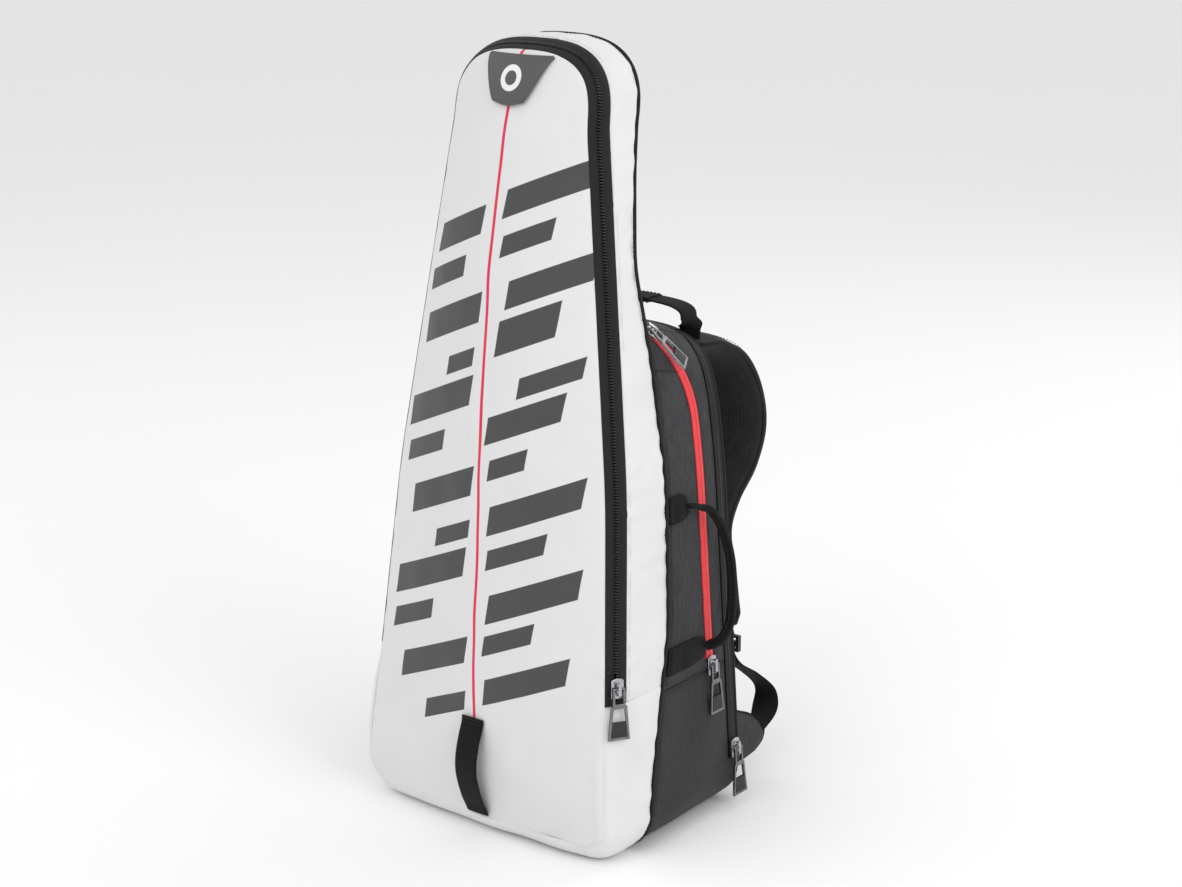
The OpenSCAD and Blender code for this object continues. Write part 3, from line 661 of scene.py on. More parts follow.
def front_cloth():
    """White coated polyester with dark slanted bars and a thin red centre line."""
    s = Shader("coated_white_print", sheen=0.12)
    vec, u, v = s.uv()
    cloth_weave = s.weave(u, v, 0.95)
    fine = s.noise(vec, 1000, 2)
    large = s.noise(vec, 12, 3)
    mask = None
    for x, z, w, h in PRINT_BARS:
        dx, dz = s.less(u, x * MM), s.less(v, z * MM)
        across = s.math("MULTIPLY_ADD", dz, -PRINT_LEAN, dx)
        up = s.math("MULTIPLY_ADD", dx, -PRINT_RISE, dz)
        bar = s.times(s.inside(across, w, 0.25), s.inside(up, h, 0.25))
        mask = bar if mask is None else s.math("MAXIMUM", mask, bar)
    grain = s.ramp(s.total(s.times(fine, 0.6), s.times(cloth_weave, 0.15), s.times(large, 0.4)), 0.2, 0.9)
    white = s.blend(grain, (0.66, 0.66, 0.665), (0.76, 0.76, 0.765))
    ink = s.blend(grain, (0.034, 0.034, 0.036), (0.062, 0.062, 0.064))
    line = s.times(s.inside(u, 1.6, 0.25), s.ramp(v, 0.104, 0.105))
    s.paint(s.blend(line, s.blend(mask, white, ink), (0.70, 0.012, 0.055)))
    s.bump(large, 1.0, 0.4)
    s.bump(s.total(s.times(cloth_weave, 0.5), fine), 0.13, 0.8)
    s.roughen(s.math("MULTIPLY_ADD", mask, -0.08, s.ramp(large, 0.3, 0.7, 0.55, 0.68)))
    return s.mat


def webbing_cloth(name, dark, light, pitch=1.7):
    """Ribbed woven tape: ribs run along it, with a fine chevron of yarns across."""
    s = Shader(name, rough=0.68, sheen=0.02, specular=0.14)
    vec, u, v = s.uv()
    k = 2 * PI / (pitch * MM)
    bend = s.math("ABSOLUTE", s.sine(u, k / 4))
    yarn = s.math("SINE", s.math("MULTIPLY_ADD", v, k * 1.1, s.times(bend, 2.4)))
    rib = s.sine(u, k)
    fine = s.noise(vec, 1400, 2)
    share = s.total(s.times(yarn, 0.25), s.times(rib, 0.12), fine)
    s.paint(s.blend(s.ramp(share, 0.2, 0.9), dark, light))
    s.bump(s.total(yarn, s.times(rib, 0.7), fine), 0.22, 0.85)
    return s.mat


def tape_cloth(name, dark, light, pitch=1.1, rough=0.55, coat=0.0):
    """Zip tape: fine ribs along its length."""
    s = Shader(name, rough=rough, coat=coat, specular=0.22)
    vec, u, v = s.uv()
    k = 2 * PI / (pitch * MM)
    rib, fine = s.sine(u, k), s.noise(vec, 1200, 2)
    s.paint(s.blend(s.ramp(s.total(s.times(rib, 0.15), fine), 0.25, 0.8), dark, light))
    s.bump(s.total(rib, s.times(s.sine(v, k * 0.8), 0.5), fine), 0.14, 0.8)
    return s.mat


def mesh_cloth(name, dark, light, pitch=2.6):
    """Padded spacer mesh: small offset holes over foam."""
    s = Shader(name, rough=0.8, sheen=0.08, specular=0.2)
    vec, u, v = s.uv()
    k = 2 * PI / (pitch * MM) / 1.4
    holes = s.ramp(s.times(s.sine(s.total(u, v), k), s.sine(s.less(u, v), k)), 0.25, 0.6)
    fine = s.noise(vec, 1100, 2)
    heather = s.noise(vec, 260, 4, stretch=(1.0, 0.3, 1.0))
    share = s.total(fine, s.times(heather, 0.6), s.times(holes, -0.45))
    s.paint(s.blend(s.ramp(share, 0.35, 1.1), dark, light))
    s.bump(s.total(s.times(holes, -1.0), s.times(fine, 0.4)), 0.5, 0.7)
    return s.mat


def moulded(name, colour, light, rough, metallic=0.0, scale=300, bump=0.08):
    """Hard or rubbery piece with slight mottling and fine wear."""
    s = Shader(name, rough=rough, metallic=metallic)
    vec = s.place()
    fine = s.noise(vec, scale * 4, 3)
    large = s.noise(vec, scale, 3)
    scratch = s.noise(vec, scale, 3, stretch=(1.0, 9.0, 1.0))
    s.paint(s.blend(s.ramp(s.total(large, s.times(fine, 0.4)), 0.45, 0.95), colour, light))
    s.bump(s.total(fine, s.times(scratch, 0.5)), bump, 0.5)
    s.roughen(s.ramp(scratch, 0.3, 0.7, rough * 0.8, min(1.0, rough * 1.25)))
    return s.mat


def badge_rubber(top, height):
    """Dark moulded patch with a plain light ring and an eased border."""
    s = Shader("badge_rubber", rough=0.5)
    vec, u, v = s.uv()
    cv = s.less(v, (top - height * 0.47) * MM)
    r = s.math("SQRT", s.total(s.times(u, u), s.times(cv, cv)))
    ring = s.inside(s.less(r, 8.5 * MM), 2.5, 0.2)
    fine = s.noise(vec, 1500, 2)
    ground = s.blend(fine, (0.055, 0.055, 0.058), (0.09, 0.09, 0.094))
    s.paint(s.blend(ring, ground, (0.78, 0.78, 0.79)))
    s.bump(s.total(s.times(ring, 1.6), s.times(fine, 0.25)), 0.5, 0.8)
    return s.mat


FRONT = front_cloth()
WHITE = woven("coated_white", (0.68, 0.68, 0.685), (0.78, 0.78, 0.785), 0.95, (0.52, 0.66), 0.12, 0.0, 0.35)
SIDE = woven("heather_side", (0.018, 0.018, 0.02), (0.052, 0.052, 0.056), 1.1, (0.66, 0.8), heather=0.9)
DARK = woven("woven_black", (0.016, 0.016, 0.017), (0.042, 0.042, 0.045), 1.1, (0.62, 0.78), heather=0.6)
LINING = woven("lining_grey", (0.035, 0.035, 0.038), (0.07, 0.07, 0.075), 1.4, (0.55, 0.7))
WHITE_THREAD = woven("thread_white", (0.62, 0.62, 0.63), (0.78, 0.78, 0.79), 0.5)
BLACK_THREAD = woven("thread_black", (0.02, 0.02, 0.021), (0.05, 0.05, 0.052), 0.5)
WEBBING = webbing_cloth("webbing_black", (0.003, 0.003, 0.0032), (0.011, 0.011, 0.012))
BLACK_TAPE = tape_cloth("zip_tape_black", (0.006, 0.006, 0.007), (0.019, 0.019, 0.02))
RED_TAPE = tape_cloth("zip_tape_red", (0.74, 0.035, 0.045), (0.9, 0.065, 0.075), 1.3, 0.4, 0.15)
PIPING = tape_cloth("piping_black", (0.006, 0.006, 0.007), (0.02, 0.02, 0.022), 1.0, 0.5)
AIR_MESH = mesh_cloth("air_mesh", (0.01, 0.01, 0.011), (0.05, 0.05, 0.053))
COIL = moulded("zip_coil_black", (0.012, 0.012, 0.013), (0.04, 0.04, 0.042), 0.35, scale=500)
RED_COIL = moulded("zip_coil_red", (0.5, 0.012, 0.02), (0.66, 0.03, 0.04), 0.38, scale=500)
STEEL = moulded("slider_plated", (0.36, 0.36, 0.38), (0.52, 0.52, 0.54), 0.24, 1.0, bump=0.03)
GUNMETAL = moulded("pull_gunmetal", (0.13, 0.13, 0.14), (0.26, 0.26, 0.27), 0.3, 1.0, bump=0.03)
RUBBER = moulded("grip_rubber", (0.008, 0.008, 0.008), (0.022, 0.022, 0.022), 0.6, scale=420, bump=0.12)
BUCKLE = moulded("buckle_plastic", (0.009, 0.009, 0.01), (0.02, 0.02, 0.022), 0.42, scale=380)
BOARD = moulded("base_board", (0.02, 0.02, 0.022), (0.045, 0.045, 0.048), 0.6, bump=0.1)


# ---------------------------------------------------------------- racket compartment

A_ZIP = run_at(ZIP_LOW)
SEAM_STEPS = np.r_[0, 0.008, 0.02, 0.04, np.linspace(0.07, 0.93, 24), 0.96, 0.98, 0.992, 1.0]


def gusset(name, a, low):
    """Strip of the white gusset. low adds the rounded shoulder down to the front seam."""
    z = rim(a)[1]
    front, back = (edge_y(z) + BAND_Y + 0.4)[:, None], (border_y(z) - PIPE - 0.1)[:, None]
    t = SEAM_STEPS[None]
    y = mix(front, back, t)
    from_front, from_back = t * (back - front), (1 - t) * (back - front)
    aa = a[:, None] + 0 * t
    swell = np.sin(PI * t)
    inset = -1.6 * swell ** 0.7 + 1.3 * np.exp(-from_back / 1.6) + pucker(aa, from_back, 0.55, 4)
    if not low:
        inset = inset + 1.3 * np.exp(-from_front / 1.6) + pucker(aa, from_front, 0.7, 3)
    inset = inset + 1.6 * waves(stack(aa, y * 0.45), 95, 5) * swell ** 0.5
    inset = inset + 0.45 * waves(stack(aa, y * 0.3), 34, 6) * swell
    fold = creases(stack(aa, y), 7, 90, (-350, -70), (2 * LENGTH, 40), 26, 5.0, 0.75)
    p = ring_points(aa, inset + 1.5 * fold * swell ** 0.7, y)
    if low:
        d = seam_inset(a)
        sx, sz = rim(a, d)
        seam_y = np.where(sz < LIFT + 2.5, panel_y(sx, np.full_like(sz, LIFT)), edge_y(sz))[:, None]
        turn = np.radians(np.r_[0, 6, 14, 26, 40, 54, 66, 76, 84])[None]
        straight = turn / math.radians(90)
        rounded = np.clip((ZIP_LOW - z) / 40, 0, 1)[:, None]
        k_in = mix(straight, np.sin(turn), rounded)
        k_y = mix(straight, 1 - np.cos(turn), rounded)
        shoulder = ring_points(a[:, None] + 0 * turn, d[:, None] * (1 - k_in) + 0.8 * np.exp(-turn / 0.08),
                               seam_y + (front - 0.4 - seam_y) * k_y)
        shoulder[..., 1] += 0.7 * waves(shoulder, 60, 8)
        p = np.concatenate([shoulder, p], 1)
    ends = np.minimum(a - a[0], a[-1] - a)[:, None, None]
    p = p - outward(p)[0] * np.exp(-ends / 1.5)
    keep_on(cloth("gusset_" + name, p, WHITE), "white_polyester",
            "racket_gusset_base" if low else "racket_gusset")


gusset("upper", np.linspace(A_ZIP, 2 * LENGTH - A_ZIP, 520), False)
gusset("lower", np.linspace(-A_ZIP, A_ZIP, 260), True)


def panel_sheet(runs, cols, depth, trim):
    """Front panel surface; runs are arc lengths on the outline, trim narrows it."""
    sx, sz = rim(runs, seam_inset(runs))
    x = (sx[:, None] - trim) * np.linspace(-1, 1, cols)[None]
    z = sz[:, None] + 0 * x
    return stack(x, panel_y(x, z) + depth, z)


def front_panel():
    p = panel_sheet(mix(FLAT + 0.5, LENGTH - 5.0, spread(190, 0.35)), 97, 0.0, 0.5)
    x, z = p[..., 0], p[..., 2]
    away = np.maximum(panel_w(z) - np.abs(x), 0)
    fade = 1 - np.exp(-away / 14)
    fold = creases(stack(x, z), 14, 34, (-150, 10), (150, 640), 55, 9.0, 1.2)
    p[..., 1] += (1.1 * np.exp(-away / 1.8)
                  - 1.1 * waves(stack(x, z * 0.6), 150, 11) * fade
                  + pucker(z + 40 * np.sign(x), away, 0.75, 12, 13, 30) * (1 - np.exp(-away / 2))
                  - 0.35 * waves(stack(x, z), 46, 13) * fade
                  - 0.9 * fold * fade
                  # rolled edge above the ground, where the panel meets the gusset
                  - 1.3 * np.exp(-((away - 6) / 4) ** 2) * np.clip((170 - z) / 60, 0, 1))
    ob = cloth("front_panel", p, FRONT, 1.8, stack(x, z), (0, 200, 300))
    bend_between(ob, "bag", "cover", (0, 0, HINGE - 14), (0, 0, HINGE + 14),
                 "white_polyester", "front_lower_panel", "front_cover_panel")


def lining():
    p = panel_sheet(np.linspace(run_at(HINGE + 12), LENGTH - 30, 110), 41, 5.2, 11)
    x, z = p[..., 0], p[..., 2]
    quilt = np.abs(np.sin(PI * (x + 0.5 * z) / 62) * np.sin(PI * (x - 0.5 * z) / 62))
    edge = np.clip((1 - np.abs(np.linspace(-1, 1, 41))) / 0.15, 0, 1)[None]
    p[..., 1] += 3.6 * quilt ** 0.4 * edge
    keep_on(cloth("cover_lining_quilted", p, LINING, 1.2, centre=(0, -400, 300)),
            "dark_polyester", "cover_lining", "cover_foam", on="cover")


def back_wall():
    """Padded wall behind the rackets: a quilted panel on both faces."""
    x0, z0 = rim(mix(FLAT + 14.0, LENGTH - 2.0, spread(150, 0.3)), 3.0)
    share = np.linspace(-1, 1, 45)[None]
    z = z0[:, None] + 0 * share
    edge = np.clip((1 - np.abs(share)) / 0.05, 0, 1) ** 0.5
    top = np.clip((HEIGHT - 4 - z) / 16, 0, 1) ** 0.5
    quilt = np.abs(np.sin(PI * z / 58)) ** 0.35
    for name, sign, mat in (("rear", 1, DARK), ("front", -1, LINING)):
        y = border_y(z) + sign * (0.4 + (1.9 + quilt) * edge * top)
        keep_on(cloth("back_wall_" + name, stack(x0[:, None] * share, y, z), mat, 0.8,
                      centre=(0, -sign * 900, 300)), "dark_polyester", "racket_back_panel")


def border_cord():
    a = np.linspace(0, 2 * LENGTH, 420)[:-1]
    line = ring_points(a, 0.2, border_y(rim(a, 0.2)[1]))
    keep_on(tube("border_cord", line, -PIPE * rim_outward(a), (0, PIPE, 0), PIPING, 10, True),
            "black_piping", "border_piping")


front_panel()
lining()
back_wall()
border_cord()


# ---------------------------------------------------------------- cover zip

def band(a, k, lift=0.0):
    """Point on the strip across the front edge, from the panel (k 0) to the gusset (k 1);
    lift is square to the slanted strip."""
    a, k = np.broadcast_arrays(np.asarray(a, float), np.asarray(k, float))
    inset = BAND_X * (1 - k)
    lift = lift / math.hypot(BAND_X, BAND_Y)
    x, z = rim(a, inset - lift * BAND_Y)
    return stack(x, edge_y(rim(a, inset)[1]) + BAND_Y * k - lift * BAND_X, z)


def zip_half(name, a, k0, k1, *nodes, on="bag"):
    t = np.r_[0, 0.04, 0.12, 0.3, 0.5, 0.7, 0.88, 0.96, 1.0][None]
    lift = np.sin(PI * (1 - t if k1 == 1 else t)).clip(0) ** 0.6 - 0.5
    keep_on(cloth("cover_zip_" + name, band(a[:, None], mix(k0, k1, t), lift), BLACK_TAPE, 1.6),
            "black_zip", *nodes, on=on)


def coil(name, a, k, on, shift):
    a = np.arange(a[0], a[-1], 1.5) + shift
    path = band(a, k, -0.6)
    keep_on(teeth("cover_coil_" + name, path, band(a, k, 0.6), path + band(a, k + 0.05) - band(a, k),
                  COIL, 2.6, (1.25, 1.5, 1.9)), "black_zip", on=on)


A_HINGE = run_at(HINGE)
cover_a = np.linspace(A_HINGE + 0.6, 2 * LENGTH - A_HINGE - 0.6, 380)
bag_a = np.linspace(A_ZIP, 2 * LENGTH - A_ZIP, 400)
stub_a = np.linspace(A_ZIP, A_HINGE, 12)
zip_half("inner", cover_a, 0.0, 0.44, "cover_zip_inner_tape", on="cover")
zip_half("outer", bag_a, 0.56, 1.0, "cover_zip_outer_tape")
zip_half("stub_right", stub_a, 0.0, 0.44, "cover_zip_ends")
zip_half("stub_left", 2 * LENGTH - stub_a[::-1], 0.0, 0.44)
coil("inner", cover_a, 0.462, "cover", 0.0)
coil("outer", bag_a, 0.538, "bag", 1.3)


def gusset_seam(name, a, away, from_back):
    z = rim(a)[1]
    y = border_y(z) - away if from_back else edge_y(z) + BAND_Y + away
    keep_on(stitches("gusset_stitch_" + name, ring_points(a, -0.45, y), rim_outward(a), WHITE_THREAD,
                     4.0, 2.7, 0.34), "white_polyester")


gusset_seam("back", np.linspace(-LENGTH + 1, LENGTH - 1, 700), 5.0, True)
gusset_seam("front", np.linspace(A_ZIP + 3, 2 * LENGTH - A_ZIP - 3, 600), 4.0, False)


# ---------------------------------------------------------------- main compartment

ROOF_SEAM = ZIP_S1 + 7.5
ZIP_PATH = np.stack(side_zip(np.linspace(0, 1, 90)), 1)


def zip_distance(s, y):
    return np.hypot(s[..., None] - ZIP_PATH[:, 0], y[..., None] - ZIP_PATH[:, 1]).min(-1)


def side_lift(s, y):
    """How far the soft side stands off its pattern surface, falling away at the seams."""
    near = np.minimum(y - body_start(s), BODY_END - y)
    near = np.minimum(near, np.abs(folded(s) - BASE_TOP))
    near = np.where(s < ARCH_TOP, np.minimum(near, zip_distance(s, y) - TAPE), near)
    near = np.maximum(near, 0)
    at = stack(s, y)
    swell = 1.5 * (1 - np.exp(-near / 14)) - 1.1 * np.exp(-near / 1.5)
    gather = 0.55 * waves(at * [1.0, 0.35], 26, 31) * np.exp(-near / 10) * (1 - np.exp(-near / 2))
    sag = 1.2 * waves(at * [0.6, 1.0], 120, 32) * (1 - np.exp(-near / 16))
    fold = 0.9 * creases(at, 33, 70, (140, -15), (1020, 110), 28, 5.5, 0.5) * (1 - np.exp(-near / 7))
    return swell + gather + sag + fold


def side_cloth(name, s, y, *nodes):
    keep_on(cloth(name, body(s, y, side_lift(s, y)), SIDE, 2.2), "dark_polyester", *nodes)


def grid(s, y0, y1, cols):
    t = spread(cols, 0.4)[None]
    return s[:, None] + 0 * t, mix((y0 + 0 * s)[:, None], (y1 + 0 * s)[:, None], t)


def zip_front_y(s):
    inner = np.maximum(0, (BEND_R - TAPE - 0.9) ** 2 - (s - BEND_S) ** 2)
    return ZIP_Y - BEND_R + np.sqrt(inner)


# Roof and the plain left side
over = np.r_[np.linspace(ROOF_SEAM, 700, 110), np.linspace(701, 2 * ARCH_TOP - BASE_TOP - 1, 150)]
side_cloth("roof_and_left", *grid(over, body_start(over), BODY_END, 44), "body_gusset")

# Right side in front of the zip
FLAP_S0, FLAP_S1 = side_zip(np.array([FLAP_Q0, FLAP_Q1]), -TAPE - 0.4)[0]
foot_s = np.linspace(BASE_TOP + 1, FLAP_S0 - 0.4, 10)
mid_s = np.linspace(FLAP_S0 - 0.4, FLAP_S1 + 0.4, 130)
top_s = np.linspace(FLAP_S1 + 0.4, ROOF_SEAM, 40)
side_cloth("side_front_foot", *grid(foot_s, body_start(foot_s), ZIP_Y - TAPE, 30))
side_cloth("side_front", *grid(mid_s, body_start(mid_s), fold_y(mid_s) - 0.3, 16), "side_front_panel")
side_cloth("side_front_top", *grid(top_s, body_start(top_s), np.maximum(ZIP_FRONT - 6, zip_front_y(top_s)), 20))

# Flap between the fold line and the zip
FOLD_A, FOLD_B = (body(s, fold_y(s)) for s in (158.0, FOLD_TOP_S))
FOLD_MID = (FOLD_A + FOLD_B) / 2
FOLD_WAY = unit(np.cross(unit(FOLD_B - FOLD_A), (1.0, 0, 0)))
FOLD_WAY *= np.sign(FOLD_WAY[1])
FOLD_REACH = 14.0


def on_fold(ob, slot, *nodes):
    """Cloth at the flap's fold line: bakes its transform and hides the given nodes."""
    bend_between(ob, "bag", "flap", FOLD_MID, FOLD_MID + FOLD_WAY * FOLD_REACH, slot, *nodes)


def flap():
    zip_s, zip_y = side_zip(np.linspace(FLAP_Q0, FLAP_Q1, 130), -TAPE)
    s, y = grid(zip_s, fold_y(zip_s) - 0.3, zip_y, 26)
    ends = np.minimum(np.arange(130), np.arange(130)[::-1])[:, None] * 2.3
    p = body(s, y, side_lift(s, y) - 0.35 * np.exp(-ends / 1.2))
    on_fold(cloth("side_flap_cloth", p, SIDE, 2.2), "dark_polyester", "side_flap")


def side_rear():
    """Right side behind the zip; q below 0 is its foot under the zip's lower end."""
    q = np.r_[np.linspace(-1 / 24, 0, 8)[:-1], np.linspace(0, 1, 150)]
    s, y = side_zip(np.maximum(q, 0), TAPE)
    s = np.where(q < 0, mix(ZIP_S0, BASE_TOP + 1, -q * 24), s)
    far = side_zip(np.maximum(q, 0))[0]
    far = np.where(q < 0, s, far + (ROOF_SEAM - far) * past_bend(q))
    t = spread(34, 0.4)[None]
    side_cloth("side_rear", mix(s[:, None], far[:, None], t), mix(y[:, None], BODY_END, t), "side_rear_panel")


flap()
side_rear()


# Red side zip
def red_half(name, d0, d1, q0, q1):
    q = np.linspace(q0, q1, max(8, int((q1 - q0) * 170)))[:, None]
    d = mix(d0, d1, np.r_[0, 0.06, 0.2, 0.45, 0.7, 0.88, 1.0][None])
    lip = 0.6 * np.clip(1 - np.abs(d) / TAPE, 0, 1) ** 0.5 + 0.5
    s, y = side_zip(q, d)
    return cloth("side_zip_" + name, body(s, y, lip + 0 * s), RED_TAPE, 1.6)


def zip_coil(name, q0, q1, d, shift):
    q = np.arange(q0, q1, 0.004) + shift
    at = side_zip(q, d)
    return teeth("side_coil_" + name, body(*at, -0.4), body(*at, 1.0), body(*side_zip(q, d + 1.0), -0.4),
                 RED_COIL, 1.9, (1.0, 0.9, 0.7))


keep_on(red_half("rear", 0.35, TAPE + 0.8, 0.0, 1.0), "red_zip", "side_zip_rear_tape")
on_fold(red_half("front", -TAPE - 0.8, -0.35, FLAP_Q0, FLAP_Q1), "red_zip", "side_zip_front_tape")
keep_on(red_half("foot", -TAPE - 0.8, -0.35, 0.0, FLAP_Q0 - 0.002), "red_zip", "side_zip_ends")
keep_on(red_half("head", -TAPE - 0.8, -0.35, FLAP_Q1 + 0.002, 1.0), "red_zip")
on_fold(zip_coil("front", FLAP_Q0, FLAP_Q1, -0.35, 0), "red_zip")
keep_on(zip_coil("rear", 0.0, 1.0, 0.35, 0.0025), "red_zip")


def side_seam(name, s, y):
    """Stitches along a line on the main compartment."""
    s, y = np.broadcast_arrays(s, y)
    low = side_lift(s, y) + 0.3
    return stitches("stitch_" + name, body(s, y, low), body(s, y, low + 1) - body(s, y, low), BLACK_THREAD)


long_s = np.linspace(BASE_TOP + 4, 2 * ARCH_TOP - BASE_TOP - 4, 900)
keep_on(side_seam("zip_rear", *side_zip(np.linspace(0.0, 1.0, 240), TAPE + 2.2)), "dark_polyester")
on_fold(side_seam("zip_front", *side_zip(np.linspace(FLAP_Q0 + 0.01, FLAP_Q1 - 0.01, 200), -TAPE - 2.2)),
        "dark_polyester")
keep_on(side_seam("body_rear", long_s, BODY_END - 3.5), "dark_polyester")
keep_on(side_seam("body_front", long_s, body_start(long_s) + 3.5), "dark_polyester")


# Black base, from seam to seam under the bag
def base_cloth():
    a0 = run_at(BASE_TOP)
    a = np.linspace(-a0, a0, 260)
    x0, z0 = rim(a)
    y0, y1 = border_y(z0) + PIPE + 0.2, np.where(z0 < 45.5, REAR, BODY_END)
    deep = (y1 - y0)[:, None]
    t = spread(40, 0.4)[None]
    p = stack(x0[:, None] * (1 - REAR_INSET * t / HALF), y0[:, None] + deep * t, z0[:, None])
    near = np.minimum(np.minimum(t * deep, (1 - t) * deep), (a0 - np.abs(a))[:, None])
    rise = np.clip(z0 / 30, 0, 1)[:, None]
    at = stack(a[:, None], p[..., 1])
    lift = ((1.4 + waves(at, 95, 41)) * (1 - np.exp(-near / 14))
            + 0.5 * waves(at * [0.4, 1], 24, 42) * np.exp(-near / 10) * (1 - np.exp(-near / 2))) * rise
    lift = lift - 1.2 * np.exp(-near / 1.5)
    inside = (0, 60, 100)
    keep_on(cloth("base_cloth", p + outward(p, inside)[0] * lift[..., None], DARK, 2.4, centre=inside),
            "dark_polyester", "body_base")
    row = np.abs(a) < a0 - 4
    for name, y in (("front", y0 + 3.5), ("rear", y1 - 3.5)):
        along = (y - y0) / (y1 - y0)
        path = stack(x0 * (1 - REAR_INSET * along / HALF), y, z0 + 0.8)
        up = rim_outward(a)
        sew("stitch_base_" + name, (path + up * 0.9 * rise)[row], up[row], slot="dark_polyester")
    yy = np.linspace(y0[0] + 4, BODY_END - 4, 60)
    for side in (1, -1):
        for name, s in (("low", BASE_TOP - 3.0), ("high", BASE_TOP + 3.0)):
            low, high = (body(s, yy, lift) * [side, 1, 1] for lift in (0.9, 1.9))
            sew("stitch_base_%s_%s" % (name, tag_of(side)), low, high - low, slot="dark_polyester")


base_cloth()


# Rear zip round the back panel: two tapes and a coil
RING_END = 46
ring_s = np.linspace(RING_END, 2 * ARCH_TOP - RING_END, 420)
REAR_MID = REAR - TAPE_W - 0.5


def rear_tape(name, y0, y1):
    t = np.r_[0, 0.08, 0.3, 0.6, 0.85, 1.0][None]
    lip = 0.7 * np.sin(PI * np.clip(t, 0.02, 0.98)) ** 0.5 - 0.2
    keep_on(cloth("rear_zip_" + name, body(ring_s[:, None], mix(y0, y1, t), lip), BLACK_TAPE, 1.8),
            "black_zip", "rear_zip_%s_tape" % name)


def rear_coil(name, d, shift):
    s = np.arange(RING_END + 1, 2 * ARCH_TOP - RING_END - 1, 1.6) + shift
    y = REAR_MID + d
    keep_on(teeth("rear_coil_" + name, body(s, y, -0.5), body(s, y, 0.9), body(s, y + 1, -0.5),
                  COIL, 2.3, (1.1, 1.1, 1.1)), "black_zip")


rear_tape("body", BODY_END + 0.4, REAR_MID - 0.5)
rear_tape("panel", REAR_MID + 0.5, REAR)
rear_coil("body", -0.5, 0.0)
rear_coil("panel", 0.5, 1.2)

# Piped edge between the rear zip and the back panel
cord_line = body(ring_s, REAR + 1.2, -0.6)
cord_side, cord_face = frames(cord_line, (0, 1, 0))
keep_on(tube("back_edge_cord", cord_line, 1.7 * cord_side, 1.7 * cord_face, PIPING, 9), "black_piping")


# ---------------------------------------------------------------- back panel and pads

def back_y(x, z):
    return REAR + 1 + 7 * (1 - (x / HALF) ** 2) * np.sin(PI * np.clip(z, 0, ROOF_REAR) / ROOF_REAR)


def back_width(z):
    ax, az = arch(SHOULDER + ARCH_LEN * np.linspace(0, 1, 200), ROOF_REAR, REAR_SQUARE, REAR_INSET)
    return np.where(z <= SHOULDER, low_x(np.where(z < SHOULDER, z, 0)) - REAR_INSET, np.interp(z, az, ax))


def back_grid(z, cols, trim):
    """Grid over the back: x, z and the distance to the nearer side."""
    w = back_width(z)[:, None] - trim
    share = np.linspace(-1, 1, cols)[None]
    return w * share, z[:, None] + 0 * share, w * (1 - np.abs(share))


def back_cloth():
    x, z, near = back_grid(mix(5.0, ROOF_REAR - 0.6, spread(110, 0.5)), 61, 0.8)
    near = np.minimum(near, np.minimum(z - 5, ROOF_REAR - z))
    y = back_y(x, z) + 3.2 - 2.6 * np.exp(-near / 3.5) + 0.7 * waves(stack(x, z), 70, 51)
    keep_on(cloth("back_cloth", stack(x, y, z), DARK, 3.0, centre=(0, -900, 200)),
            "dark_polyester", "back_panel")


def pad(name, node, x0, x1, z0, z1, thick, ribs):
    """Soft quilted pad: rounded plan, crowned face, channels stitched across it."""
    nx, nz = 41, 90
    u, v = np.linspace(-1, 1, nx)[None], np.linspace(-1, 1, nz)[:, None]
    # square grid drawn into a rounded rectangle
    x = mix(x0, x1, 0.5 + 0.5 * u * (1 - 0.16 * np.abs(v) ** 6))
    z = mix(z0, z1, 0.5 + 0.5 * v * (1 - 0.08 * np.abs(u) ** 6))
    rise = np.clip((1 - np.abs(u) ** 7) * (1 - np.abs(v) ** 14), 0, 1) ** 0.45
    slant = 10 * (x - (x0 + x1) / 2) / (x1 - x0) * (1 if x0 < 0 else -1)
    groove = sum(np.exp(-((z - mix(z0, z1, k / ribs) - slant) / 3.2) ** 2) for k in range(1, ribs))
    top = (4.2 + rise * (thick + 0.6) * (1 - 0.62 * np.clip(groove, 0, 1))
           + 0.5 * waves(stack(x, z), 40, 61) * rise)
    p, foot = (stack(x, back_y(x, z) + high, z) for high in (top, 3.4))
    flat = lengths(p).reshape(-1, 2)
    ob = new_mesh(name, np.concatenate([p.reshape(-1, 3), foot.reshape(-1, 3)]), sheet_faces(nz, nx, True),
                  np.concatenate([flat, flat]), AIR_MESH, 60)
    faced_out(ob)
    keep_on(ob, "heather_padding", node)
    cord = p.reshape(-1, 3)[grid_edge(nz, nx)] + [0, 0.4, 0]
    keep_on(strap(name + "_binding", cord, 3.4, 3.0, (0, 1, 0), PIPING, 1.0, 8), "black_piping")


DIVIDER_Y, DIVIDER_LOW, DIVIDER_TOP = 84, 7, ROOF_REAR - 14


def divider_cloth():
    x, z, near = back_grid(np.linspace(DIVIDER_LOW, DIVIDER_TOP, 60), 31, 6)
    near = np.minimum(near, np.minimum(z - DIVIDER_LOW, DIVIDER_TOP - z))
    quilt = np.abs(np.sin(PI * (x + z) / 54) * np.sin(PI * (x - z) / 54))
    puff = 1 - np.exp(-near / 6) + 0.7 * quilt ** 0.5
    for name, sign in (("front", -1), ("rear", 1)):
        keep_on(cloth("divider_" + name, stack(x, DIVIDER_Y + sign * (1.0 + puff), z), LINING, 0.9,
                      centre=(0, DIVIDER_Y - sign * 400, 200)), "dark_polyester", "laptop_divider")


back_cloth()
pad("pad_left", "back_pad_left", -100, -14, 150, 395, 8, 5)
pad("pad_right", "back_pad_right", 14, 100, 150, 395, 8, 5)
pad("pad_lumbar", "lumbar_pad", -98, 98, 48, 140, 9, 2)
divider_cloth()
bevelled("base_board", "bag", "board", BOARD, 0.6, 2)


# ---------------------------------------------------------------- badge, handles and straps

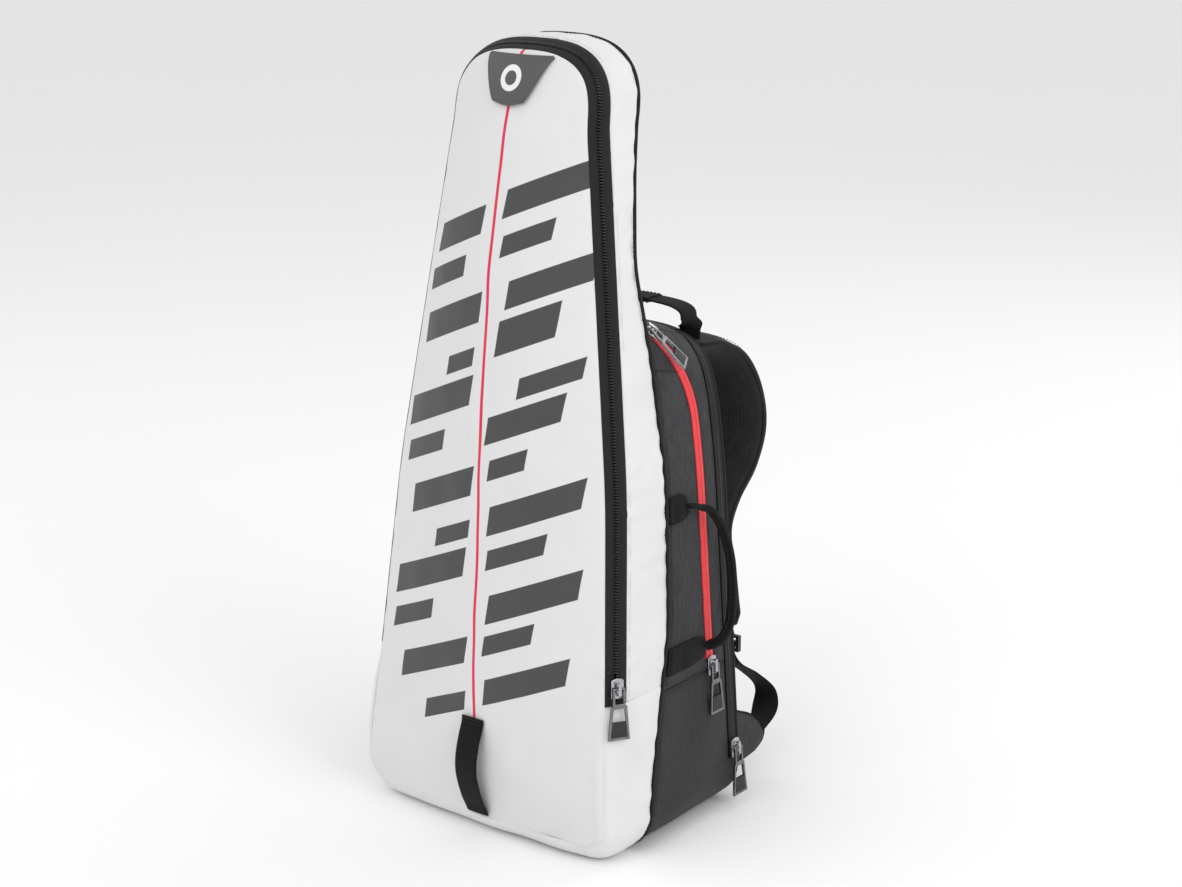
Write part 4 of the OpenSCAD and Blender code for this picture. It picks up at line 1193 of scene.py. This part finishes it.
def badge():
    low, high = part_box("badge_patch")
    z0, z1 = low.z / MM, high.z / MM
    v, u = np.linspace(0, 1, 34)[:, None], np.linspace(-1, 1, 45)[None]
    z = mix(z0, z1, v) + 0 * u
    wide = np.minimum(mix(19, 36, (z - z0) / (z1 - z0)), panel_w(z) - 3)
    # shield: the lower corners are drawn in round a shallow point
    x = u * wide * (1 - 0.10 * (1 - v) ** 6)
    z = z - 3.0 * (1 - v) ** 3 * (1 - np.abs(u) ** 1.5) + 2.0 * (1 - v) ** 3
    edge = np.minimum((1 - np.abs(u)) * wide, np.minimum(v, 1 - v) * (z1 - z0))
    raised = 1.0 - 0.8 * np.exp(-edge / 0.8) - 0.55 * (np.abs(edge - 3.0) < 0.7)
    keep_on(cloth("badge_moulded", stack(x, panel_y(x, z) - 1.7 - raised, z), badge_rubber(z1, z1 - z0),
                  2.0, stack(x, z), (0, 200, 600), 40), "badge_rubber", "badge_patch", on="cover")


SHORT = {"pitch": 3.0, "size": 2.1, "r": 0.35}


def box_stitch(name, centre, u, v, half_u, half_v):
    """Square with a cross: the usual stitching where webbing ends. u and v lie in the webbing."""
    u, v = unit(np.array(u)), unit(np.array(v))
    corners = [(-1, -1), (1, -1), (1, 1), (-1, 1), (-1, -1), (1, 1)]
    for part, way in (("a", corners), ("b", [(1, -1), (-1, 1)])):
        path = resample(np.array([centre + u * half_u * i + v * half_v * j for i, j in way]), 1.0)
        sew(name + "_" + part, path, np.cross(u, v), **SHORT)


def grab():
    """Front grab strap: the two sewn ends stay with the panel and the free middle swings."""
    top, foot = 106.0, 24.0
    line = smooth_line([(0, panel_y(0.0, z) - out, z) for z, out in (
        (top + 8, 2.0), (top + 2, 2.6), (mix(top, foot, 0.14), 7.5), (mix(top, foot, 0.35), 11.6),
        (mix(top, foot, 0.55), 12), (mix(top, foot, 0.82), 8), (foot, 3.0), (foot - 4, 1.6))], 6)
    head, tail = 14, 27

    def piece(name, part):
        return strap("grab_strap_" + name, part, 25, 2.2, (1, 0, 0), WEBBING)

    keep_on(piece("webbing", line[head:tail + 1]), "black_webbing", "grab_strap", on="grab")
    bend_between(piece("head", line[:head + 1]), "bag", "grab", line[6], line[head], "black_webbing")
    bend_between(piece("foot", line[tail:]), "bag", "grab", line[34], line[tail], "black_webbing")
    for name, i in (("top", 4), ("foot", len(line) - 6)):
        way = unit(line[i + 1] - line[i - 1])
        n = unit(np.cross((1.0, 0, 0), way))
        n *= -np.sign(n[1])
        row = line[i] + n * 1.3 + stack(np.linspace(-10.5, 10.5, 22), 0, 0)
        for k, shift in enumerate((-2.0, 2.0)):
            sew("grab_stitch_%s_%d" % (name, k), row + way * shift, n, **SHORT)


HANDLE_TOP, HANDLE_LOW = 303.0, 168.0


def handle_band(name, s0):
    """Webbing band on the side that holds one end of the handle."""
    s = s0 + np.linspace(-12.2, 12.2, 11)[:, None]
    t = spread(34, 0.3)[None]
    y = mix(body_start(s) + 0.2, fold_y(s) + 12.0, t)
    s = s0 + (s - s0) * (1 - 0.42 * np.clip((t - 0.6) / 0.4, 0, 1) ** 1.5)
    lift = (side_lift(s, y) + 2.3 - 1.5 * np.exp(-np.minimum(1 - t, 0.5) * 40)
            + 0.4 * waves(stack(s, y), 30, 71))
    p = body(s, y, lift)
    on_fold(cloth("handle_band_" + name, p, WEBBING, 2.0, stack(s, y)), "black_webbing",
            "handle_anchor_" + name)
    for k, share in enumerate((0.10, 0.16)):
        sew("handle_band_%s_stitch_%d" % (name, k), p[1:-1, int(share * 33)] + [0.25, 0, 0], (1.0, 0, 0),
            pitch=2.8, size=2.0, r=0.35)


def side_handle():
    line = smooth_line([body(s, y) + [out, 0, 0] for s, y, out in (
        (HANDLE_TOP, fold_y(HANDLE_TOP) + 7, 4.2), (HANDLE_TOP - 1, fold_y(HANDLE_TOP) + 14, 6.6),
        (HANDLE_TOP - 4, fold_y(HANDLE_TOP) + 22, 10.4), (294, 65, 14), (271, 79, 17), (235.5, 86, 18.5),
        (192, 82, 18), (175, 71, 15.5), (169.5, 64, 9), (HANDLE_LOW, fold_y(HANDLE_LOW) + 6.5, 4.2))], 9)
    t = np.linspace(0, 1, len(line))
    grip = ease(np.clip(np.minimum(t / 0.26, (1 - t) / 0.2), 0, 1))
    thick = mix(2.3, 6.2, grip)
    keep_on(strap("side_handle_webbing", line, mix(16.5, 9.0, grip), thick, (1, 0, 0), WEBBING, 0.6, 24),
            "black_webbing", "side_handle", on="handle")
    # Folded edges of the webbing meet along the outer side of the grip
    face = frames(line, (1, 0, 0))[1]
    keep = (t > 0.2) & (t < 0.84)
    for k, sign in enumerate((-1, 1)):
        path = line + face * (sign * thick / 2 * 0.98)[:, None]
        sew("handle_stitch_%d" % k, path[keep], face[keep] * sign, "handle", pitch=4.0, size=2.8, r=0.4)


HAUL_LOW, HAUL_Y, HAUL_HALF = 452.0, 116.0, 78.0


def haul():
    """Loop over the top of the back, with a folded grip in its middle."""
    a = np.radians(np.linspace(0, 180, 61))
    rise = top_of("haul_loop").z - HAUL_LOW - 1.5
    line = resample(stack(HAUL_HALF * soft(np.cos(a), 0.5), HAUL_Y + 0.8 * np.sin(a * 2),
                          HAUL_LOW + rise * np.abs(np.sin(a)) ** 0.6), 3.0)
    keep_on(strap("haul_loop_webbing", line, 23.5, 2.7, (0, 1, 0), WEBBING), "black_webbing", "haul_loop",
            on="haul")
    mid = np.abs(line[:, 0]) < 40
    side, face = frames(line, (0, 1, 0))
    wide = np.interp(np.abs(line[mid, 0]), [30, 40], [24.6, 23.8])
    keep_on(strap("haul_grip_fold", line[mid], wide, 5.0, (0, 1, 0), WEBBING), "black_webbing", on="haul")
    for k, shift in enumerate((-9.5, 9.5)):
        for sign in (1, -1):
            sew("haul_stitch_%d_%d" % (k, sign > 0), (line + side * shift + face * sign * 2.5)[mid],
                face[mid] * sign, "haul")


def haul_foot(side):
    """End of the haul loop: it turns flat and is sewn to the back panel below the rear seam."""
    line = smooth_line([(78, 116, 454.5), (78.4, 116.6, 450), (79, 116.9, 445), (79.4, 116.2, 440),
                        (79.6, 115.6, 434)], 7) * [side, 1, 1]
    k = ease(np.clip((np.linspace(0, 1, len(line))[:, None] - 0.15) / 0.5, 0, 1))
    across = mix(np.array([0, 1.0, 0]), np.array([side, 0, 0]), k)
    tag = tag_of(side)
    bend_between(strap("haul_foot_" + tag, line, 23.0, 2.6, across, WEBBING), "bag", "haul",
                 (0, HAUL_Y, 441), (0, HAUL_Y, HAUL_LOW), "black_webbing")
    box_stitch("haul_box_" + tag, (side * 79.5, 117.4, 439), (-1, 0, 0), (0, 0.08, 1), 9, 3)


STRAP_LINE = [(62, 124, 428), (66, 148, 425), (72, 176, 408), (78, 194, 375), (80, 199, 338),
              (79, 186, 303), (77, 162, 276), (78, 146, 250), (84, 141, 220), (94, 140, 185),
              (103, 140.5, 155)]
WEB_LINE = [(107.1, 140.2, 140), (107.4, 139.4, 130), (111, 147, 118), (117, 166, 104), (122.5, 186, 84),
            (124, 187, 66), (123.4, 176, 51), (123, 165, 42)]
TOP_TAB = [(61, 113.4, 412), (61.2, 114.6, 419), (61.6, 118.5, 425), (63, 128, 428)]
FOOT_TAB = [(100, 140.6, 167), (102.5, 140.4, 159), (105, 140.4, 151), (107, 140.5, 143)]


def shoulder_strap(side):
    flip, tag = np.array([side, 1, 1]), tag_of(side)
    on = "strap_" + tag

    def webbing(name, line, width, thick, *nodes, across=(1, 0, 0)):
        keep_on(strap(name + tag, line, width, thick, across, WEBBING), "black_webbing", *nodes, on=on)

    line = smooth_line(STRAP_LINE, 9) * flip
    run = run_of(line)
    t = run / run[-1]
    across, face = frames(line, (1, 0, 0))
    # Foam pad: crowned across, pinched at the seam on both edges, narrower at both ends
    turn = turns(32)[None]
    cx, cy = soft(np.cos(turn), 0.6), soft(np.sin(turn), 0.75)
    ends = np.clip(np.minimum(t / 0.05, (1 - t) / 0.05), 0, 1) ** 0.5
    wide = np.interp(t, [0, 0.06, 0.3, 0.5, 0.85, 0.97, 1], [58, 62, 57, 57, 60, 48, 34])
    thick = 12.4 * mix(0.42, 1.0, ends) * (1 + 0.10 * waves(stack(run, 0), 55, 81))
    bend = waves(stack(run, 9.0), 60, 82)[:, None]
    out = cy * thick[:, None] / 2 * (1 - 0.35 * np.abs(cx) ** 3) + 0.5 * bend
    p = line[:, None] + across[:, None] * (cx * wide[:, None] / 2)[..., None] + face[:, None] * out[..., None]
    ob = loft("strap_pad_" + tag, p, AIR_MESH, stack(turn / (2 * PI) * 150, run[:, None]))
    keep_on(ob, "heather_padding", "shoulder_strap_" + tag, on=on)
    # Bound edge, one tape round the whole pad
    half = across * (wide / 2 - 0.6)[:, None]
    cord = resample(np.concatenate([line + half, (line - half)[::-1], (line + half)[:1]]), 3.0)
    way = unit(np.gradient(cord, axis=0))
    up = np.cross(way, (1.0, 0, 0))
    up[np.linalg.norm(up, axis=1) < 0.2] = (0, 1, 0)
    up = unit(up)
    keep_on(tube("strap_binding_" + tag, cord, 1.5 * np.cross(up, way), 2.6 * up, PIPING),
            "black_webbing", on=on)
    keep = (t > 0.03) & (t < 0.97)
    for k, sign in enumerate((-1, 1)):
        for j, top in enumerate((-1, 1)):
            path = line + across * ((wide / 2 - 5.5) * sign)[:, None] + face * (top * thick * 0.4)[:, None]
            sew("strap_seam_%s_%d_%d" % (tag, k, j), path[keep], face[keep] * top, on)
    # Webbing sewn down the middle of the outer face
    keep = (t > 0.10) & (t < 0.94)
    outer = face[keep] * np.sign(face[:, 1].sum())
    path = line[keep] + outer * (thick / 2 + 0.3)[keep, None]
    webbing("strap_web_", path, 24, 1.6)
    for k, shift in enumerate((-9.8, 9.8)):
        sew("strap_web_seam_%s_%d" % (tag, k), path + across[keep] * shift + outer * 0.85, outer, on)
    # Top and foot of the pad: webbing to the bag and to the buckle
    tab = np.array(TOP_TAB) * flip
    bend_between(strap("strap_top_tab_" + tag, smooth_line(tab, 5), 46, 2.4, (1, 0, 0), WEBBING),
                 "bag", on, tab[1], tab[3], "black_webbing")
    webbing("strap_foot_tab_", smooth_line(FOOT_TAB, 5) * flip, 24, 2.0)
    # Tail down to the fin; it turns to lie in the fin's plane and is sewn inside its edge
    tail = smooth_line(WEB_LINE, 8) * flip
    k = ease(np.clip(np.linspace(-1.1, 1, len(tail)), 0, 1))[:, None]
    webbing("strap_tail_", tail, 24.6, 1.9, "strap_webbing_" + tag,
            across=mix(np.array([1.0, 0, 0]), np.array([0.0, 0.66, -0.75]) * side, k))
    bevelled("ladder_lock_" + tag, on, "buckle_plastic", BUCKLE, 0.8)


def wing(side):
    """Padded fin: two soft faces meeting in a bound edge."""
    tag = tag_of(side)
    low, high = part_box("wing_" + tag)
    x_mid = (low.x + high.x) / 2 / MM
    corners = [(7, 22), (28, 20), (62, 24), (74, 30), (78, 40), (66, 52), (52, 64), (7, 84), (7, 22)]
    loop = resample(np.array(corners) + [REAR, 0], 2.0)[:-1]
    loop = np.stack([smoothed(c, 9, "wrap") for c in loop.T], 1)
    middle = np.array([REAR + 34.0, 44.0])
    rings = np.r_[1.0, 0.985, 0.95, 0.88, 0.76, 0.6, 0.4, 0.2][:, None, None]
    depth = np.r_[0.25, 0.55, 0.8, 1.0, 1.12, 1.2, 1.22, 1.24][:, None]
    yz = middle + (loop - middle) * rings
    near, far = (stack(x_mid + sign * 2.9 * depth + 0.4 * waves(yz, 34, 91), yz[..., 0], yz[..., 1])
                 for sign in (1, -1))
    p = np.concatenate([far[::-1], near])
    ob = loft("wing_cloth_" + tag, p, SIDE, p[..., 1:])
    keep_on(ob, "dark_polyester", "wing_" + tag)
    ring = stack(x_mid, *loop.T)
    ring = np.concatenate([ring, ring[:1]])
    out = np.cross(unit(np.gradient(ring, axis=0)), (1.0, 0, 0))
    keep_on(tube("wing_binding_" + tag, ring, 1.3 * out, (2.1, 0, 0), PIPING), "black_piping")


badge()
grab()
handle_band("upper", HANDLE_TOP)
handle_band("lower", HANDLE_LOW)
side_handle()
haul()
for both in (haul_foot, shoulder_strap, wing):
    both(1)
    both(-1)


# ---------------------------------------------------------------- zip hardware

for key, tail, zip_body in (("cover", "", "cover_zip"), ("side", "_upper", "upper_zip"),
                            ("side", "_lower", "lower_zip"), ("rear", "", "rear_zip")):
    bevelled(key + "_slider" + tail, zip_body + "_slider", "slider_metal", STEEL, 0.5)
    bevelled(key + "_pull" + tail, zip_body + "_pull", "pull_metal", GUNMETAL, 0.45)
    bevelled(key + "_pull" + tail + "_grip", zip_body + "_pull", "grip_rubber", RUBBER, 0.6)


# ---------------------------------------------------------------- floor, light and camera

def plain(name, colour, rough):
    s = Shader(name, rough=rough)
    s.paint(s.blend(s.noise(s.place(), 3.0), colour, tuple(min(1.0, c * 1.01) for c in colour)))
    return s.mat


def look(ob, place, aim):
    """Put a lamp or camera at a place, turned to the point it looks at."""
    bpy.context.scene.collection.objects.link(ob)
    ob.location = place
    ob.rotation_mode = "QUATERNION"
    ob.rotation_quaternion = (Vector(aim) - Vector(place)).to_track_quat("-Z", "Y")


def lamp(name, place, height, size, power):
    data = bpy.data.lights.new(name, "AREA")
    data.size, data.energy = size, power
    look(bpy.data.objects.new(name, data), place, (0, 0, height))


def studio():
    bpy.ops.mesh.primitive_plane_add(size=60, location=(0, 0, cad_low.z - 0.0004))
    floor = bpy.context.object
    floor.name = "studio_floor"
    floor.data.materials.append(plain("studio_floor", (0.93, 0.93, 0.93), 0.9))
    world = bpy.data.worlds.new("studio")
    bpy.context.scene.world = world
    world.use_nodes = True
    back = world.node_tree.nodes["Background"]
    back.inputs["Color"].default_value = (1.0, 1.0, 1.0, 1)
    back.inputs["Strength"].default_value = 0.82
    bpy.context.scene.view_settings.view_transform = "Standard"
    lamp("key", (0.2, -2.4, 2.3), 0.35, 1.6, 14)
    lamp("side", (2.4, -0.4, 1.7), 0.35, 1.4, 19)
    lamp("left", (-2.2, -0.8, 1.4), 0.35, 1.6, 5)
    lamp("back", (0.6, 2.2, 1.8), 0.4, 1.4, 10)


def camera():
    data = bpy.data.cameras.new("camera")
    data.sensor_width, data.lens = 36.0, 69.3
    data.clip_start, data.clip_end = 0.05, 60
    ob = bpy.data.objects.new("camera", data)
    look(ob, (1.2465, -1.5289, 0.905), (0.03494, 0.02721, 0.34667))
    bpy.context.scene.camera = ob


studio()
camera()
